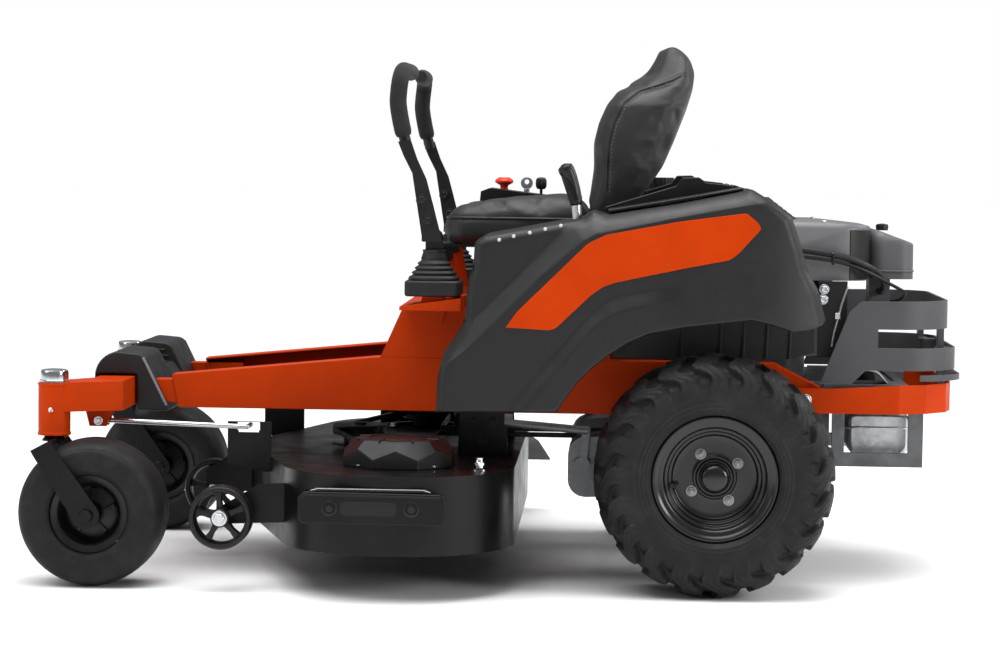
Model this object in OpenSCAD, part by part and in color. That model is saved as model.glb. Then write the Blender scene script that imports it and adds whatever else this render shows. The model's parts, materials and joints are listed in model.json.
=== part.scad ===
// Zero turn riding mower with a side-discharge deck, as separate pieces at real size.
// Millimetres. +X is forward, +Y is the operator's left, +Z is up.
// Shapes are laid out from the point on the ground below the rear axle, and
// shifted at the end so that the origin is the bottom centre of the machine's box.

/* [Wheels] */
// Distance between the rear axle and the trailing front axles
wheelbase = 1181; // [1160:1:1200]
// Outside diameter of a drive tyre
drive_tire_d = 457; // [440:1:460]
// Width of a drive tyre
drive_tire_w = 236; // [200:1:240]
// Distance from the centre plane to the middle of a drive tyre
drive_wheel_y = 410; // [405:1:420]
// Diameter of the drive rim's tyre seat
drive_rim_d = 203; // [200:1:206]
// Outside diameter of a caster tyre
caster_tire_d = 279; // [270:1:284]
// Width of a caster tyre
caster_tire_w = 148; // [130:1:150]
// Diameter of the caster rim's tyre seat
caster_rim_d = 127; // [120:1:130]
// How far a caster wheel trails its swivel axis
caster_trail = 77; // [70:1:84]
// Distance from the centre plane to a caster's swivel axis
caster_y = 430; // [425:1:440]

/* [Frame] */
// Height of the rails' lower edge above the ground
rail_bottom_z = 325; // [324:1:326]
// Distance from the centre plane to a rail's outer face
rail_outer_y = 257; // [256:1:258]
// Width of a rail
rail_w = 50; // [40:1:52]
// Thickness of the pressed steel
steel_t = 4; // [3:0.5:5]
// Half width of the rear bumper
bumper_half_w = 280; // [276:1:284]
// Rearmost point of the bumper, behind the axle
bumper_rear = 472; // [468:1:476]
// Thickness of the bumper's band
bumper_t = 6; // [5:0.5:8]

/* [Deck] */
// Radius swept by one blade
blade_r = 206; // [190:1:207]
// Distance from the centre plane to an outer spindle
spindle_y = 403; // [402:1:406]
// How far the outer spindles stand ahead of the rear axle
spindle_x = 600; // [596:1:604]
// How far the middle spindle stands ahead of the outer ones
spindle_stagger = 110; // [108:1:116]
// Height of the deck's lower edge in the raised position
deck_bottom_z = 88; // [86:1:92]
// Height of the deck's top plate in the raised position
deck_top_z = 235; // [232:1:238]
// How far the discharge chute reaches beyond the deck's side
chute_reach = 235; // [200:1:240]

/* [Seat and controls] */
// Width of the seat
seat_w = 470; // [440:1:480]
// Height of the middle of the seat cushion above the ground
seat_top_z = 750; // [745:1:754]
// Distance from the centre plane to a lever's upright grip
lever_y = 340; // [336:1:344]
// Diameter of a foam grip
grip_d = 33; // [28:1:34]
// Length of a grip's inboard top section
grip_reach = 215; // [160:1:225]

/* [Hidden] */
$fn = 48;

orange = [0.82, 0.24, 0.04];
charcoal = [0.23, 0.23, 0.24];
black = [0.06, 0.06, 0.065];
rubber = [0.11, 0.11, 0.115];
silver = [0.72, 0.73, 0.75];

// Clearances: a shaft in its own bore, and a moving piece beside its neighbour
run_fit = 0.06;
gap = 1;
cut = 2;

// Fixed places that several pieces share
caster_x = wheelbase + caster_trail;
axle_z = drive_tire_d / 2;
caster_axle_z = caster_tire_d / 2;
rail_inner_y = rail_outer_y - rail_w;
rail_front_x = 1060;
rail_rear_x = -210;
rail_top_z = 430;
beam = [[1131, -405, 330], [1200, 405, 386]];
plate_z = 386;
plate_t = 6;
crank_x = -75;
deck_belt_z = 258;
drive_belt_z = 332;
belt_h = 12;
hinge_seat = [530, 628];
lift_pivot = [330, 447];
lift_pin = [470, 407];
draft_pivot = [1187, 305];
draft_end = [900, 296];
hanger_y = 300;
lever_pivot = [541, 566];
swing_z = 668;
spindles = [
    [spindle_x, spindle_y],
    [spindle_x + spindle_stagger, 0],
    [spindle_x, -spindle_y]
];
deck_r = blade_r + 16;
chute_hinge = [-spindle_y - deck_r - 9, deck_top_z - 20];
rollers = [[928, 497, 140], [1009, 0, 138], [928, -497, 140]];
roller_r = 60;
bumper_out = 8;
boot_x = 541;
tank_neck = [105, 380];
throttle_x = 357;

// The machine's box, for the last shift
box_front = max(wheelbase + caster_tire_d / 2, caster_x + 30.5);
box_rear = -488;
box_left = spindle_y + deck_r + bumper_out;
box_right = chute_hinge[0] - chute_reach;
origin_shift = [-(box_front + box_rear) / 2, -(box_left + box_right) / 2, 0];

// ---- helpers ----

// Points of an arc from angle a to angle b
function arc(cx, cy, r, a, b, n = 10) =
    [for (i = [0:n]) [cx + r * cos(a + (b - a) * i / n), cy + r * sin(a + (b - a) * i / n)]];

// A polygon in the X-Z plane, extruded along Y
module side_plate(points, y_low, y_high) {
    translate([0, y_high, 0])
        rotate([90, 0, 0])
            linear_extrude(y_high - y_low)
                polygon(points);
}

// A polygon in the X-Y plane, extruded along Z
module plan_plate(points, z_low, z_high) {
    translate([0, 0, z_low])
        linear_extrude(z_high - z_low)
            polygon(points);
}

// A polygon in the Y-Z plane, extruded along X
module cross_plate(points, x_low, x_high) {
    translate([x_low, 0, 0])
        rotate([90, 0, 90])
            linear_extrude(x_high - x_low)
                polygon(points);
}

module slab(low, high) {
    translate(low) cube(high - low);
}

module bar_y(x, z, r, y_low, y_high) {
    translate([x, y_low, z])
        rotate([-90, 0, 0])
            cylinder(r = r, h = y_high - y_low);
}

module bar_x(y, z, r, x_low, x_high) {
    translate([x_low, y, z])
        rotate([0, 90, 0])
            cylinder(r = r, h = x_high - x_low);
}

// A round bar between two points
module rod(a, b, r) {
    v = b - a;
    translate(a)
        rotate([0, acos(v[2] / norm(v)), atan2(v[1], v[0])])
            cylinder(r = r, h = norm(v));
}

// A turned piece on an axis along Y, from points of radius and Y
module turned_y(points, x, y, z) {
    translate([x, y, z])
        rotate([-90, 0, 0])
            rotate_extrude($fn = 96)
                polygon(points);
}

// Everything on the left side, turned over to the right
module on_side(side) {
    if (side > 0) children();
    else mirror([0, 1, 0]) children();
}

module hex_bolt_y(x, y, z, r, h) {
    translate([x, y, z])
        rotate([-90, 0, 0])
            cylinder(r = r, h = h, $fn = 6);
}

// ---- frame ----

function rail_outline(t) = [
    [1047 - t, rail_bottom_z + t],
    [rail_front_x - t, 390 - t],
    [660, rail_top_z - t],
    [-120, rail_top_z - t],
    [rail_rear_x + t, 384 - t],
    [rail_rear_x + t, rail_bottom_z + t]
];

module frame_rail(side) {
    nose_gap = 5;
    color(orange) on_side(side) {
        difference() {
            side_plate(rail_outline(0), rail_inner_y, rail_outer_y);
            side_plate(rail_outline(steel_t), rail_inner_y - cut, rail_outer_y - steel_t);
        }
        // square tube that carries the rail on to the front beam
        slab([980, rail_inner_y + nose_gap, 334], [beam[0][0], rail_outer_y - steel_t, 380]);
    }
}

module front_axle() {
    tube_r = 30.5;
    tube_low = 284;
    tube_high = 384;
    cap_r = 25;
    arm = [
        [1131, -405], [1131, 405], [1225, 452], [1258, 452], [1262, 405], [1200, 320],
        [1200, -320], [1262, -405], [1258, -452], [1225, -452]
    ];
    color(orange) {
        difference() {
            union() {
                plan_plate(arm, beam[0][2], beam[1][2]);
                for (s = [-1, 1])
                    translate([caster_x, s * caster_y, tube_low])
                        cylinder(r = tube_r, h = tube_high - tube_low);
            }
            for (s = [-1, 1]) {
                translate([caster_x, s * caster_y, tube_low - cut])
                    cylinder(r = 13 + run_fit, h = tube_high - tube_low + 2 * cut);
                translate([caster_x, s * caster_y, tube_high - 8]) cylinder(r = 22, h = 20);
            }
        }
        // brackets below the beam for the deck's front links
        for (y = [318, 346])
            side_plate([[1160, 330], [1214, 330], [1205, 294], [1172, 294]], y, y + 5);
        bar_y(draft_pivot[0], draft_pivot[1], 5, 318, 351);
    }
    color(silver)
        for (s = [-1, 1])
            translate([caster_x, s * caster_y, tube_high])
                difference() {
                    cylinder(r = cap_r, h = 23);
                    translate([0, 0, 14]) cylinder(r = cap_r - 5, h = 20);
                }
}

module footplate() {
    low = 338;
    color(black) {
        difference() {
            slab([652, -rail_inner_y + gap, low], [1056, rail_inner_y - gap, low + 3]);
            for (x = [720, 800, 880, 960])
                slab([x, -60, low - cut], [x + 18, 60, low + 3 + cut]);
        }
        // ribs that the feet press on
        for (i = [0:5])
            slab([700 + 52 * i, -180, low + 3], [708 + 52 * i, -90, low + 6]);
        for (i = [0:5])
            slab([700 + 52 * i, 90, low + 3], [708 + 52 * i, 180, low + 6]);
    }
}

module footrest() {
    hump = concat(
        [[1062, 319]],
        arc(1130, 408, 22.5, 154, 90, 5),
        arc(1160, 384, 50, 90, 8, 8),
        [[1212, 319]]
    );
    t = 3;
    color(charcoal)
        difference() {
            union() {
                for (s = [-1, 1])
                    on_side(s) side_plate(hump, 72, 272);
                side_plate([[1072, 344], [1120, 344], [1120, 392], [1106, 392]], -72, 72);
            }
            // hollow below, round the beam and the rails' noses
            slab([1127, -500, 300], [1204, 500, 390]);
            for (s = [-1, 1])
                on_side(s) {
                    slab([1050, rail_inner_y + 1, 300], [1140, rail_outer_y, 384]);
                    side_plate(
                        [[1068 + t, 300], [1112, 395], [1127, 395], [1127, 300]],
                        72 + t, rail_inner_y - 3
                    );
                }
        }
}

module seat_riser() {
    top = 554;
    outer = [[650, rail_top_z], [603, 537], [486, top], [200, top], [200, rail_top_z]];
    inner = [[645, rail_top_z - cut], [600, 534], [486, top - 3], [203, top - 3], [203, rail_top_z - cut]];
    color(orange)
        difference() {
            union() {
                difference() {
                    side_plate(outer, -rail_outer_y, rail_outer_y);
                    side_plate(inner, -rail_outer_y + 3, rail_outer_y - 3);
                    // opening under the seat
                    slab([230, -150, top - 10], [470, 150, top + cut]);
                }
                // battery tray
                slab([202, -188, rail_top_z], [490, 188, rail_top_z + 3]);
                // shelves that carry the steering levers
                for (s = [-1, 1])
                    on_side(s)
                        difference() {
                            union() {
                                side_plate(
                                    [[603, 537], [486, top], [486, 530], [603, 530]],
                                    rail_outer_y, 402
                                );
                                side_plate(
                                    [[560, 530], [520, 530], [530, 500], [550, 500]],
                                    rail_outer_y, 262
                                );
                            }
                            slab([boot_x - 38, lever_y - 30, 520], [boot_x + 38, lever_y + 30, 560]);
                        }
                // seat hinge ears
                for (s = [-1, 1])
                    on_side(s)
                        side_plate(
                            concat(
                                [[500, top - 4], [555, 540]],
                                arc(hinge_seat[0], hinge_seat[1], 16, 0, 180, 10)
                            ),
                            168, 174
                        );
            }
            // bores for the seat's hinge pin and the lift shaft
            for (s = [-1, 1])
                on_side(s) {
                    bar_y(hinge_seat[0], hinge_seat[1], 6 + run_fit, 160, 180);
                    bar_y(lift_pivot[0], lift_pivot[1], 12 + run_fit, rail_outer_y - 8, rail_outer_y + 4);
                }
        }
    color(orange)
        for (s = [-1, 1])
            on_side(s)
                difference() {
                    for (y = [lever_y - 40, lever_y + 32])
                        side_plate(
                            [[boot_x - 24, 541], [boot_x + 24, 541], [boot_x + 10, 584], [boot_x - 10, 584]],
                            y, y + 8
                        );
                    bar_y(lever_pivot[0], lever_pivot[1], 7 + run_fit, lever_y - 60, lever_y + 60);
                }
}

module engine_plate() {
    color(black)
        difference() {
            union() {
                slab([-215, -rail_inner_y + gap, plate_z], [80, rail_inner_y - gap, plate_z + plate_t]);
                slab([-380, -254, plate_z], [-215, 254, plate_z + plate_t]);
                // side cheeks with a window, either side of the muffler
                for (s = [-1, 1])
                    on_side(s)
                        difference() {
                            slab([-415, 204, 226], [-236, 208, plate_z]);
                            slab([-385, 200, 254], [-261, 212, 340]);
                        }
                // feet down to the rails
                for (s = [-1, 1])
                    on_side(s) slab([-40, rail_inner_y - gap - 5, 340], [60, rail_inner_y - gap, plate_z]);
            }
            translate([crank_x, 0, plate_z - cut]) cylinder(r = 50, h = plate_t + 2 * cut);
            slab([-362, -150, plate_z - cut], [-265, 150, plate_z + plate_t + cut]);
        }
}

// An open line of points moved to its left by t, with mitred corners
function left_of(a, b) = [a[1] - b[1], b[0] - a[0]] / norm(b - a);
function inset(line, t) = [
    for (i = [0:len(line) - 1])
        let (
            before = left_of(line[max(i - 1, 0)], line[max(i, 1)]),
            after = left_of(line[min(i, len(line) - 2)], line[min(i + 1, len(line) - 1)])
        )
        line[i] + (before + after) * t / (1 + before * after)
];

// Plan of the bumper's outer face, from its left end round the rear
bumper_half = [[-110, bumper_half_w], [-360, bumper_half_w], [-414, 254], [-458, 205], [-bumper_rear, 150]];
bumper_line = concat(bumper_half, [for (i = [4:-1:0]) [bumper_half[i][0], -bumper_half[i][1]]]);

module rear_bumper() {
    low = 336;
    high = 392;
    color(orange)
        difference() {
            union() {
                difference() {
                    plan_plate(bumper_line, low, high);
                    plan_plate(inset(bumper_line, bumper_t), low - cut, high + cut);
                }
                // spacers that bolt the bumper to the rails
                for (s = [-1, 1])
                    on_side(s) slab([-200, rail_outer_y, 345], [-120, bumper_half_w - 3, 375]);
            }
            // the ends slope under the guard, so the band stays level with the rails
            side_plate([[-100, 384], [-230, 384], [-400, 394], [-100, 394]], -400, 400);
            // holes for a collector's bracket
            for (y = [-140, 140])
                bar_x(y, 368, 5.5, -bumper_rear - cut, -bumper_rear + 10);
        }
}

// The hitch tab on the inner face of the bumper
module tow_tab() {
    low = 344;
    t = 6;
    color(orange)
        difference() {
            slab([-bumper_rear + bumper_t, -42, low], [-405, 42, low + t]);
            translate([-436, 0, low - cut]) cylinder(r = 6.75, h = t + 2 * cut);
        }
}

// Plan of the guard's wall; reach sets how far back it goes
function guard_plan(reach, t) = concat(
    [[-190, 272 - t], [-reach + 110, 272 - t]],
    arc(-reach + 110, 162, 110 - t, 90, 170, 8),
    arc(-reach + 110, -162, 110 - t, 190, 270, 8),
    [[-190, -272 + t]]
);

module guard_wall(reach, z_low, z_high) {
    difference() {
        plan_plate(guard_plan(reach, 0), z_low, z_high);
        plan_plate(guard_plan(reach, 5), z_low - cut, z_high + cut);
    }
}

module engine_guard() {
    side = [[-198, 393], [-208, 396], [-262, 534], [-285, 554], [-500, 556], [-500, 393]];
    color(charcoal)
        difference() {
            intersection() {
                union() {
                    guard_wall(462, 500, 556);
                    guard_wall(478, 420, 464);
                    guard_wall(488, 400, 412);
                    // solid side walls, ahead of the slots
                    for (s = [-1, 1])
                        on_side(s) slab([-318, 267, 393], [-190, 272, 556]);
                    // posts between the bands
                    for (s = [-1, 1])
                        on_side(s) {
                            slab([-452, 176, 393], [-440, 206, 504]);
                            slab([-470, 120, 393], [-458, 160, 460]);
                            slab([-486, 120, 400], [-458, 160, 412]);
                            slab([-474, 120, 440], [-445, 160, 460]);
                            slab([-460, 140, 440], [-440, 200, 460]);
                        }
                }
                side_plate(side, -300, 300);
            }
            // the side wall narrows towards its foot
            side_plate([[-255, 380], [-295, 420], [-400, 420], [-400, 380]], 260, 280);
            side_plate([[-255, 380], [-295, 420], [-400, 420], [-400, 380]], -280, -260);
        }
}

module muffler() {
    // rounded can across the tail, with a flange at its seam
    can = concat(
        arc(-378, 312, 16, 90, 180, 4), arc(-366, 266, 28, 180, 270, 5),
        arc(-300, 266, 28, 270, 360, 5), arc(-288, 312, 16, 0, 90, 4)
    );
    color(silver) {
        side_plate(can, -150, 150);
        slab([-398, -154, 296], [-268, 154, 300]);
        // tail pipe
        difference() {
            translate([-340, 60, 226]) cylinder(r = 24, h = 20);
            translate([-340, 60, 224]) cylinder(r = 21, h = 12);
        }
        // exhaust pipes up to the heads
        for (y = [-70, 70])
            translate([-320, y, 326]) cylinder(r = 15, h = 74);
        // heat shield
        side_plate([[-258, 394], [-266, 416], [-300, 422], [-322, 418], [-342, 394], [-338, 394],
            [-320, 415], [-300, 418], [-269, 413], [-262, 394]], 150, 250);
    }
}

// ---- engine ----

module engine_block() {
    low = plate_z + plate_t;
    top = 588;
    difference() {
        union() {
            color(silver) {
                translate([crank_x, 0, low]) cylinder(r = 118, h = top - low);
                slab([-150, -110, low], [20, 110, low + 40]);
                // two finned cylinders in a V, pointing back to each side
                for (s = [-1, 1])
                    translate([crank_x, 0, low + 108])
                        rotate([0, 0, 180 - s * 48]) {
                            translate([60, -46, -46]) cube([135, 92, 92]);
                            for (i = [0:6])
                                translate([112 + 11 * i, -62, -62]) cube([5, 124, 124]);
                            // valve cover
                            translate([192, -52, -50]) cube([30, 104, 100]);
                        }
            }
            // oil filter and its mount on the left front
            color(black)
                translate([10, 110, low + 60]) rotate([0, 90, 0]) cylinder(r = 34, h = 70);
            color(black) slab([-25, 70, low + 30], [15, 140, low + 90]);
        }
        translate([crank_x, 0, low - cut]) cylinder(r = 14 + run_fit, h = top - low + 2 * cut);
    }
}

module blower_housing() {
    low = 590;
    top = 707;
    wall = 4;
    shape = concat(
        arc(-10, 130, 60, 0, 90, 6), arc(-240, 120, 70, 90, 180, 6),
        arc(-240, -120, 70, 180, 270, 6), arc(-10, -130, 60, 270, 360, 6)
    );
    core = concat(
        arc(-10, 130, 56, 0, 90, 6), arc(-240, 120, 66, 90, 180, 6),
        arc(-240, -120, 66, 180, 270, 6), arc(-10, -130, 56, 270, 360, 6)
    );
    slope = [[-330, low - 20], [-322, 690], [-308, 697], [-205, top], [60, top], [60, low - 20]];
    color(black)
        difference() {
            intersection() {
                plan_plate(shape, low, top);
                side_plate(slope, -220, 220);
            }
            plan_plate(core, low - cut, 684);
            translate([crank_x, 0, 600]) cylinder(r = 99, h = 200);
        }
}

module air_cleaner() {
    side = [[-399, 592], [-394, 664], [-386, 670], [-318, 690], [-312, 690], [-312, 592]];
    plan = concat(
        arc(-340, 82, 40, 0, 90, 6), arc(-370, 92, 30, 90, 180, 6),
        arc(-370, -92, 30, 180, 270, 6), arc(-340, -82, 40, 270, 360, 6)
    );
    color(charcoal) {
        intersection() {
            plan_plate(plan, 590, 700);
            side_plate(side, -200, 200);
        }
        // intake down to the manifold
        slab([-360, -36, 520], [-318, 36, 592]);
    }
}

function unit(v) = v / norm(v);
function ring(p, t, r, n, across) =
    let (u = unit(cross(t, across)), w = cross(u, t))
    [for (i = [0:n - 1]) p + r * (cos(360 * i / n) * u + sin(360 * i / n) * w)];
function tangent(path, i) =
    unit(path[min(i + 1, len(path) - 1)] - path[max(i - 1, 0)]);

// A round tube swept along a path that never runs along the direction across
module swept(path, r, n = 10, across = [0, 0, 1]) {
    last = len(path) - 1;
    points = [for (i = [0:last]) each ring(path[i], tangent(path, i), r, n, across)];
    sides = [for (i = [0:last - 1], j = [0:n - 1])
        [i * n + j, i * n + (j + 1) % n, (i + 1) * n + (j + 1) % n, (i + 1) * n + j]];
    start = [[for (j = [0:n - 1]) n - 1 - j]];
    finish = [[for (j = [0:n - 1]) last * n + j]];
    polyhedron(points = points, faces = concat(start, sides, finish));
}

// Route of the fuel hose along the housing's left side
hose_path = [
    [-70, 198, 652], [-110, 206, 653], [-150, 211, 652], [-190, 213, 648], [-230, 212, 642],
    [-262, 204, 635], [-290, 192, 624], [-314, 174, 612], [-332, 150, 598], [-340, 128, 584],
    [-340, 108, 572], [-340, 84, 566], [-340, 60, 564], [-340, 37, 564]
];
// Route of the throttle cable below the hose
cable_path = [
    [-80, 200, 638], [-120, 208, 640], [-160, 212, 638], [-200, 213, 634], [-240, 210, 628],
    [-275, 202, 619], [-310, 190, 604], [-345, 172, 586], [-372, 148, 572], [-384, 118, 564],
    [-384, 84, 556], [-379, 56, 548], [-371, 36, 544], [-364.5, 16, 543]
];

module fuel_line() {
    color(black) {
        swept(hose_path, 6.5);
        swept(cable_path, 3.4);
        // clamp that ties the two together
        slab([-236, 205, 625], [-228, 219.5, 651]);
    }
}

// ---- body panels ----

// Outline of a fender seen from the side, from the front foot round to the rear foot
fender_top = [
    [526, 345], [524, 409], [514, 455], [493, 486], [475, 515], [472, 562], [469, 595], [460, 615],
    [458, 664], [440, 677], [255, 712], [235, 726], [212, 718], [76, 741], [-40, 765], [-58, 772],
    [-86, 755], [-135, 721], [-155, 663], [-167, 620], [-190, 580], [-198, 547], [-203, 528]
];
fender_arch = [
    [-196, 517], [-172, 509], [-139, 505], [-104, 517], [-63, 526], [59, 511], [128, 498],
    [168, 480], [207, 454], [236, 430], [261, 404], [286, 369], [297, 349]
];
fender_core = [
    [519, 330], [518, 409], [508, 453], [487, 484], [469, 514], [466, 560], [463, 594], [454, 613],
    [452, 661], [438, 671], [252, 706], [235, 719], [213, 712], [75, 735], [-40, 759], [-56, 765],
    [-83, 750], [-130, 717], [-149, 662], [-161, 622], [-184, 582], [-192, 547], [-196, 500],
    [-172, 490], [59, 490], [200, 440], [292, 330]
];
fender_outer_y = 508;
fender_inner_y = 262;
orange_panel = [
    [396, 506], [316, 502], [303, 505], [236, 570], [214, 585], [192, 593], [75, 619], [-20, 638],
    [-36, 650], [-78, 697], [-72, 708], [-50, 726], [77, 708], [211, 682], [245, 665], [375, 536]
];

module fender(side) {
    slot_x = [246, 428];
    slot_y = [401, 427];
    shoulder = [
        [fender_inner_y, 320], [fender_inner_y, 800], [470, 800], [fender_outer_y, 690],
        [fender_outer_y, 320]
    ];
    color(charcoal)
        on_side(side)
            difference() {
                intersection() {
                    side_plate(concat(fender_top, fender_arch), fender_inner_y, fender_outer_y);
                    cross_plate(shoulder, -210, 530);
                }
                side_plate(fender_core, fender_inner_y - cut, 466);
                side_plate(
                    [for (p = fender_core) [p[0], min(p[1], 678)]], fender_inner_y - cut, fender_outer_y - 6
                );
                // room for the steering lever's shelf and boot
                slab([450, fender_inner_y - cut, 480], [540, 404, 700]);
                if (side > 0)
                    slab([slot_x[0], slot_y[0], 600], [slot_x[1], slot_y[1], 760]);
                else
                    translate([tank_neck[0], tank_neck[1], 600]) cylinder(r = 28, h = 200);
            }
    color(orange)
        on_side(side) side_plate(orange_panel, fender_outer_y, fender_outer_y + 4);
    // black trim along the inner top edge
    color(black)
        on_side(side)
            side_plate(
                [[210, 719], [76, 742], [-24, 762], [-30, 776], [20, 778], [34, 789], [66, 788],
                 [78, 770], [214, 726]],
                fender_inner_y + 2, fender_inner_y + 34
            );
}

module control_console() {
    side = [[336, 702], [336, 742], [466, 757], [484, 750], [489, 702]];
    color(black)
        difference() {
            side_plate(side, -440, -300);
            // sockets for the three controls
            translate([437, -370, 730]) cylinder(r = 6 + run_fit, h = 40);
            translate([388, -370, 730]) cylinder(r = 6 + run_fit, h = 40);
            slab([throttle_x - 9, -375, 722], [throttle_x + 9, -365, 760]);
            bar_y(throttle_x, 728, 2.5 + run_fit, -386, -354);
        }
}

module fuel_tank() {
    color(black) {
        difference() {
            side_plate(
                [[-110, 540], [-140, 570], [-120, 680], [-80, 700],
                 [180, 672], [225, 640], [225, 560], [190, 528]],
                -455, -290
            );
            side_plate(
                [[-105, 546], [-132, 572], [-114, 675], [-78, 693],
                 [178, 666], [219, 637], [219, 563], [188, 534]],
                -449, -296
            );
        }
        // filler neck through the fender
        difference() {
            translate([tank_neck[0], -tank_neck[1], 676]) cylinder(r = 26, h = 74);
            translate([tank_neck[0], -tank_neck[1], 660]) cylinder(r = 22, h = 100);
        }
    }
}

module battery() {
    low = rail_top_z + 3;
    color(black) {
        slab([352, -98, low], [482, 98, low + 90]);
        slab([357, -93, low + 90], [477, 93, low + 98]);
    }
    color(silver)
        for (y = [-70, 70])
            translate([375, y, low + 98]) cylinder(r = 8, h = 12);
}

module transaxle(side) {
    color(charcoal)
        on_side(side)
            difference() {
                union() {
                    bar_y(0, axle_z, 46, 140, 272);
                    slab([-70, 120, 165], [170, 240, 290]);
                    side_plate(
                        concat(
                            [[150, 165]],
                            arc(246, 196, 34, 270, 360, 5), arc(246, 246, 34, 0, 90, 5), [[150, 285]]
                        ),
                        150, 258
                    );
                    // cooling fan hub
                    translate([90, 150, 290]) cylinder(r = 40, h = 14);
                    // control arm and the rod forward to the lever
                    bar_y(252, 226, 16, 258, 272);
                    side_plate([[244, 226], [260, 226], [252, 300], [236, 300]], 265, 271);
                    rod([240, 272, 294], [404, 272, 307], 8);
                    slab([389, 266, 305], [404, 278, rail_bottom_z - gap]);
                }
                bar_y(0, axle_z, 14 + run_fit, 170, 280);
                translate([90, 150, 250]) cylinder(r = 8 + run_fit, h = 80);
            }
    color(silver)
        on_side(side) {
            // input shaft and pulley
            translate([90, 150, 260]) cylinder(r = 8, h = 86);
            difference() {
                translate([90, 150, drive_belt_z - 6]) cylinder(r = 50, h = belt_h + 12);
                translate([90, 150, drive_belt_z])
                    difference() {
                        cylinder(r = 60, h = belt_h);
                        translate([0, 0, -cut]) cylinder(r = 44, h = belt_h + 2 * cut);
                    }
            }
        }
}

drive_pulleys = [[crank_x, 0, 46], [90, 150, 45], [90, -150, 45]];

module belt_area(pulleys, extra) {
    hull()
        for (p = pulleys)
            translate([p[0], p[1]]) circle(r = p[2] + extra);
}

module drive_belt() {
    color(rubber)
        translate([0, 0, drive_belt_z + 1])
            linear_extrude(belt_h - 2)
                difference() {
                    belt_area(drive_pulleys, 6);
                    belt_area(drive_pulleys, 0.6);
                }
}

module lever_boots() {
    base_low = 555;
    wall = 4;
    pleats = 4;
    pitch = 9;
    color(rubber)
        for (s = [-1, 1])
            on_side(s)
                translate([boot_x, lever_y, 0])
                    difference() {
                        union() {
                            translate([-54, -58, base_low + 1]) cube([108, 110, 30]);
                            for (i = [0:pleats - 1])
                                translate([0, 0, base_low + 31 + pitch * i])
                                    cylinder(r1 = 49 - 6 * i, r2 = 43 - 6 * i, h = pitch);
                            translate([0, 0, base_low + 31 + pitch * pleats])
                                cylinder(r1 = 25, r2 = 21, h = 16);
                        }
                        translate([-48, -52, base_low - cut]) cube([96, 98, 30 + cut]);
                        translate([0, 0, base_low + 20]) cylinder(r1 = 43, r2 = 17.5, h = 68);
                    }
}

// ---- casters ----

module caster_fork(side) {
    tilt = 27.6;
    leg_y = caster_tire_w / 2 + 12;
    leg = concat(
        [[1283, 253], [1246, 273]],
        arc(wheelbase, caster_axle_z, 25, 150, 333, 12)
    );
    color(black)
        on_side(side)
            translate([0, caster_y, 0])
                difference() {
                    union() {
                        for (y = [-leg_y, leg_y - 6])
                            side_plate(leg, y, y + 6);
                        side_plate([[1283, 253], [1246, 273], [1250, 281], [1287, 261]], -leg_y, leg_y);
                        translate([caster_x, 0, 273]) cylinder(r1 = 24, r2 = 17, h = 10);
                        translate([caster_x, 0, 268]) cylinder(r = 13, h = 110);
                    }
                    bar_y(wheelbase, caster_axle_z, 8, -leg_y - cut, leg_y + cut);
                }
    color(silver)
        on_side(side)
            translate([0, caster_y, 0]) {
                bar_y(wheelbase, caster_axle_z, 8, -leg_y - 3, leg_y + 3);
                hex_bolt_y(wheelbase, leg_y, caster_axle_z, 13, 9);
                hex_bolt_y(wheelbase, -leg_y - 9, caster_axle_z, 13, 9);
            }
}

// One side of a tyre's section, from bead to bead over the tread; inset thins it to the lining
function tire_curve(r_out, r_seat, half_w, inset) =
    let (r_mid = (r_out + r_seat) / 2, lift = r_out - r_mid, steps = 9, reach = 126, power = 0.62)
    [for (i = [-steps:steps])
        let (a = reach * i / steps)
        [r_mid + (lift - inset) * sign(cos(a)) * pow(abs(cos(a)), power),
         (half_w - inset) * sign(sin(a)) * pow(abs(sin(a)), power)]];

function reversed(list) = [for (i = [len(list) - 1:-1:0]) list[i]];

// A hollow tyre whose beads sit inside the rim's flanges
module tire(r_out, r_seat, half_w, wall, bead_half, flange_h, x, y, z) {
    turned_y(
        concat(
            [[r_seat, -bead_half], [r_seat + flange_h, -bead_half]],
            tire_curve(r_out, r_seat, half_w, 0),
            [[r_seat + flange_h, bead_half], [r_seat, bead_half], [r_seat, bead_half - wall]],
            reversed(tire_curve(r_out, r_seat, half_w, wall)),
            [[r_seat, -bead_half + wall]]
        ),
        x, y, z
    );
}

module caster_tire(side) {
    color(rubber)
        on_side(side)
            tire(
                caster_tire_d / 2, caster_rim_d / 2 + 0.1, caster_tire_w / 2, 11, 53.9, 9.6,
                wheelbase, caster_y, caster_axle_z
            );
}

module caster_rim(side) {
    seat = caster_rim_d / 2;
    w = 54;
    section = [
        [8 + run_fit, -80], [16, -80], [16, -14], [seat - 8, -10], [seat - 5, -w - 2], [seat + 9, -w - 4],
        [seat + 9, -w - 1], [seat, -w], [seat, w], [seat + 9, w + 1], [seat + 9, w + 4], [seat - 5, w + 2],
        [seat - 8, 10], [16, 14], [16, 80], [8 + run_fit, 80]
    ];
    color(black)
        on_side(side) turned_y(section, wheelbase, caster_y, caster_axle_z);
}

// ---- drive wheels ----

module drive_tire(side) {
    color(rubber)
        on_side(side)
            tire(
                drive_tire_d / 2, drive_rim_d / 2 + 0.1, drive_tire_w / 2, 14, 91.9, 17,
                0, drive_wheel_y, axle_z
            );
}

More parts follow.
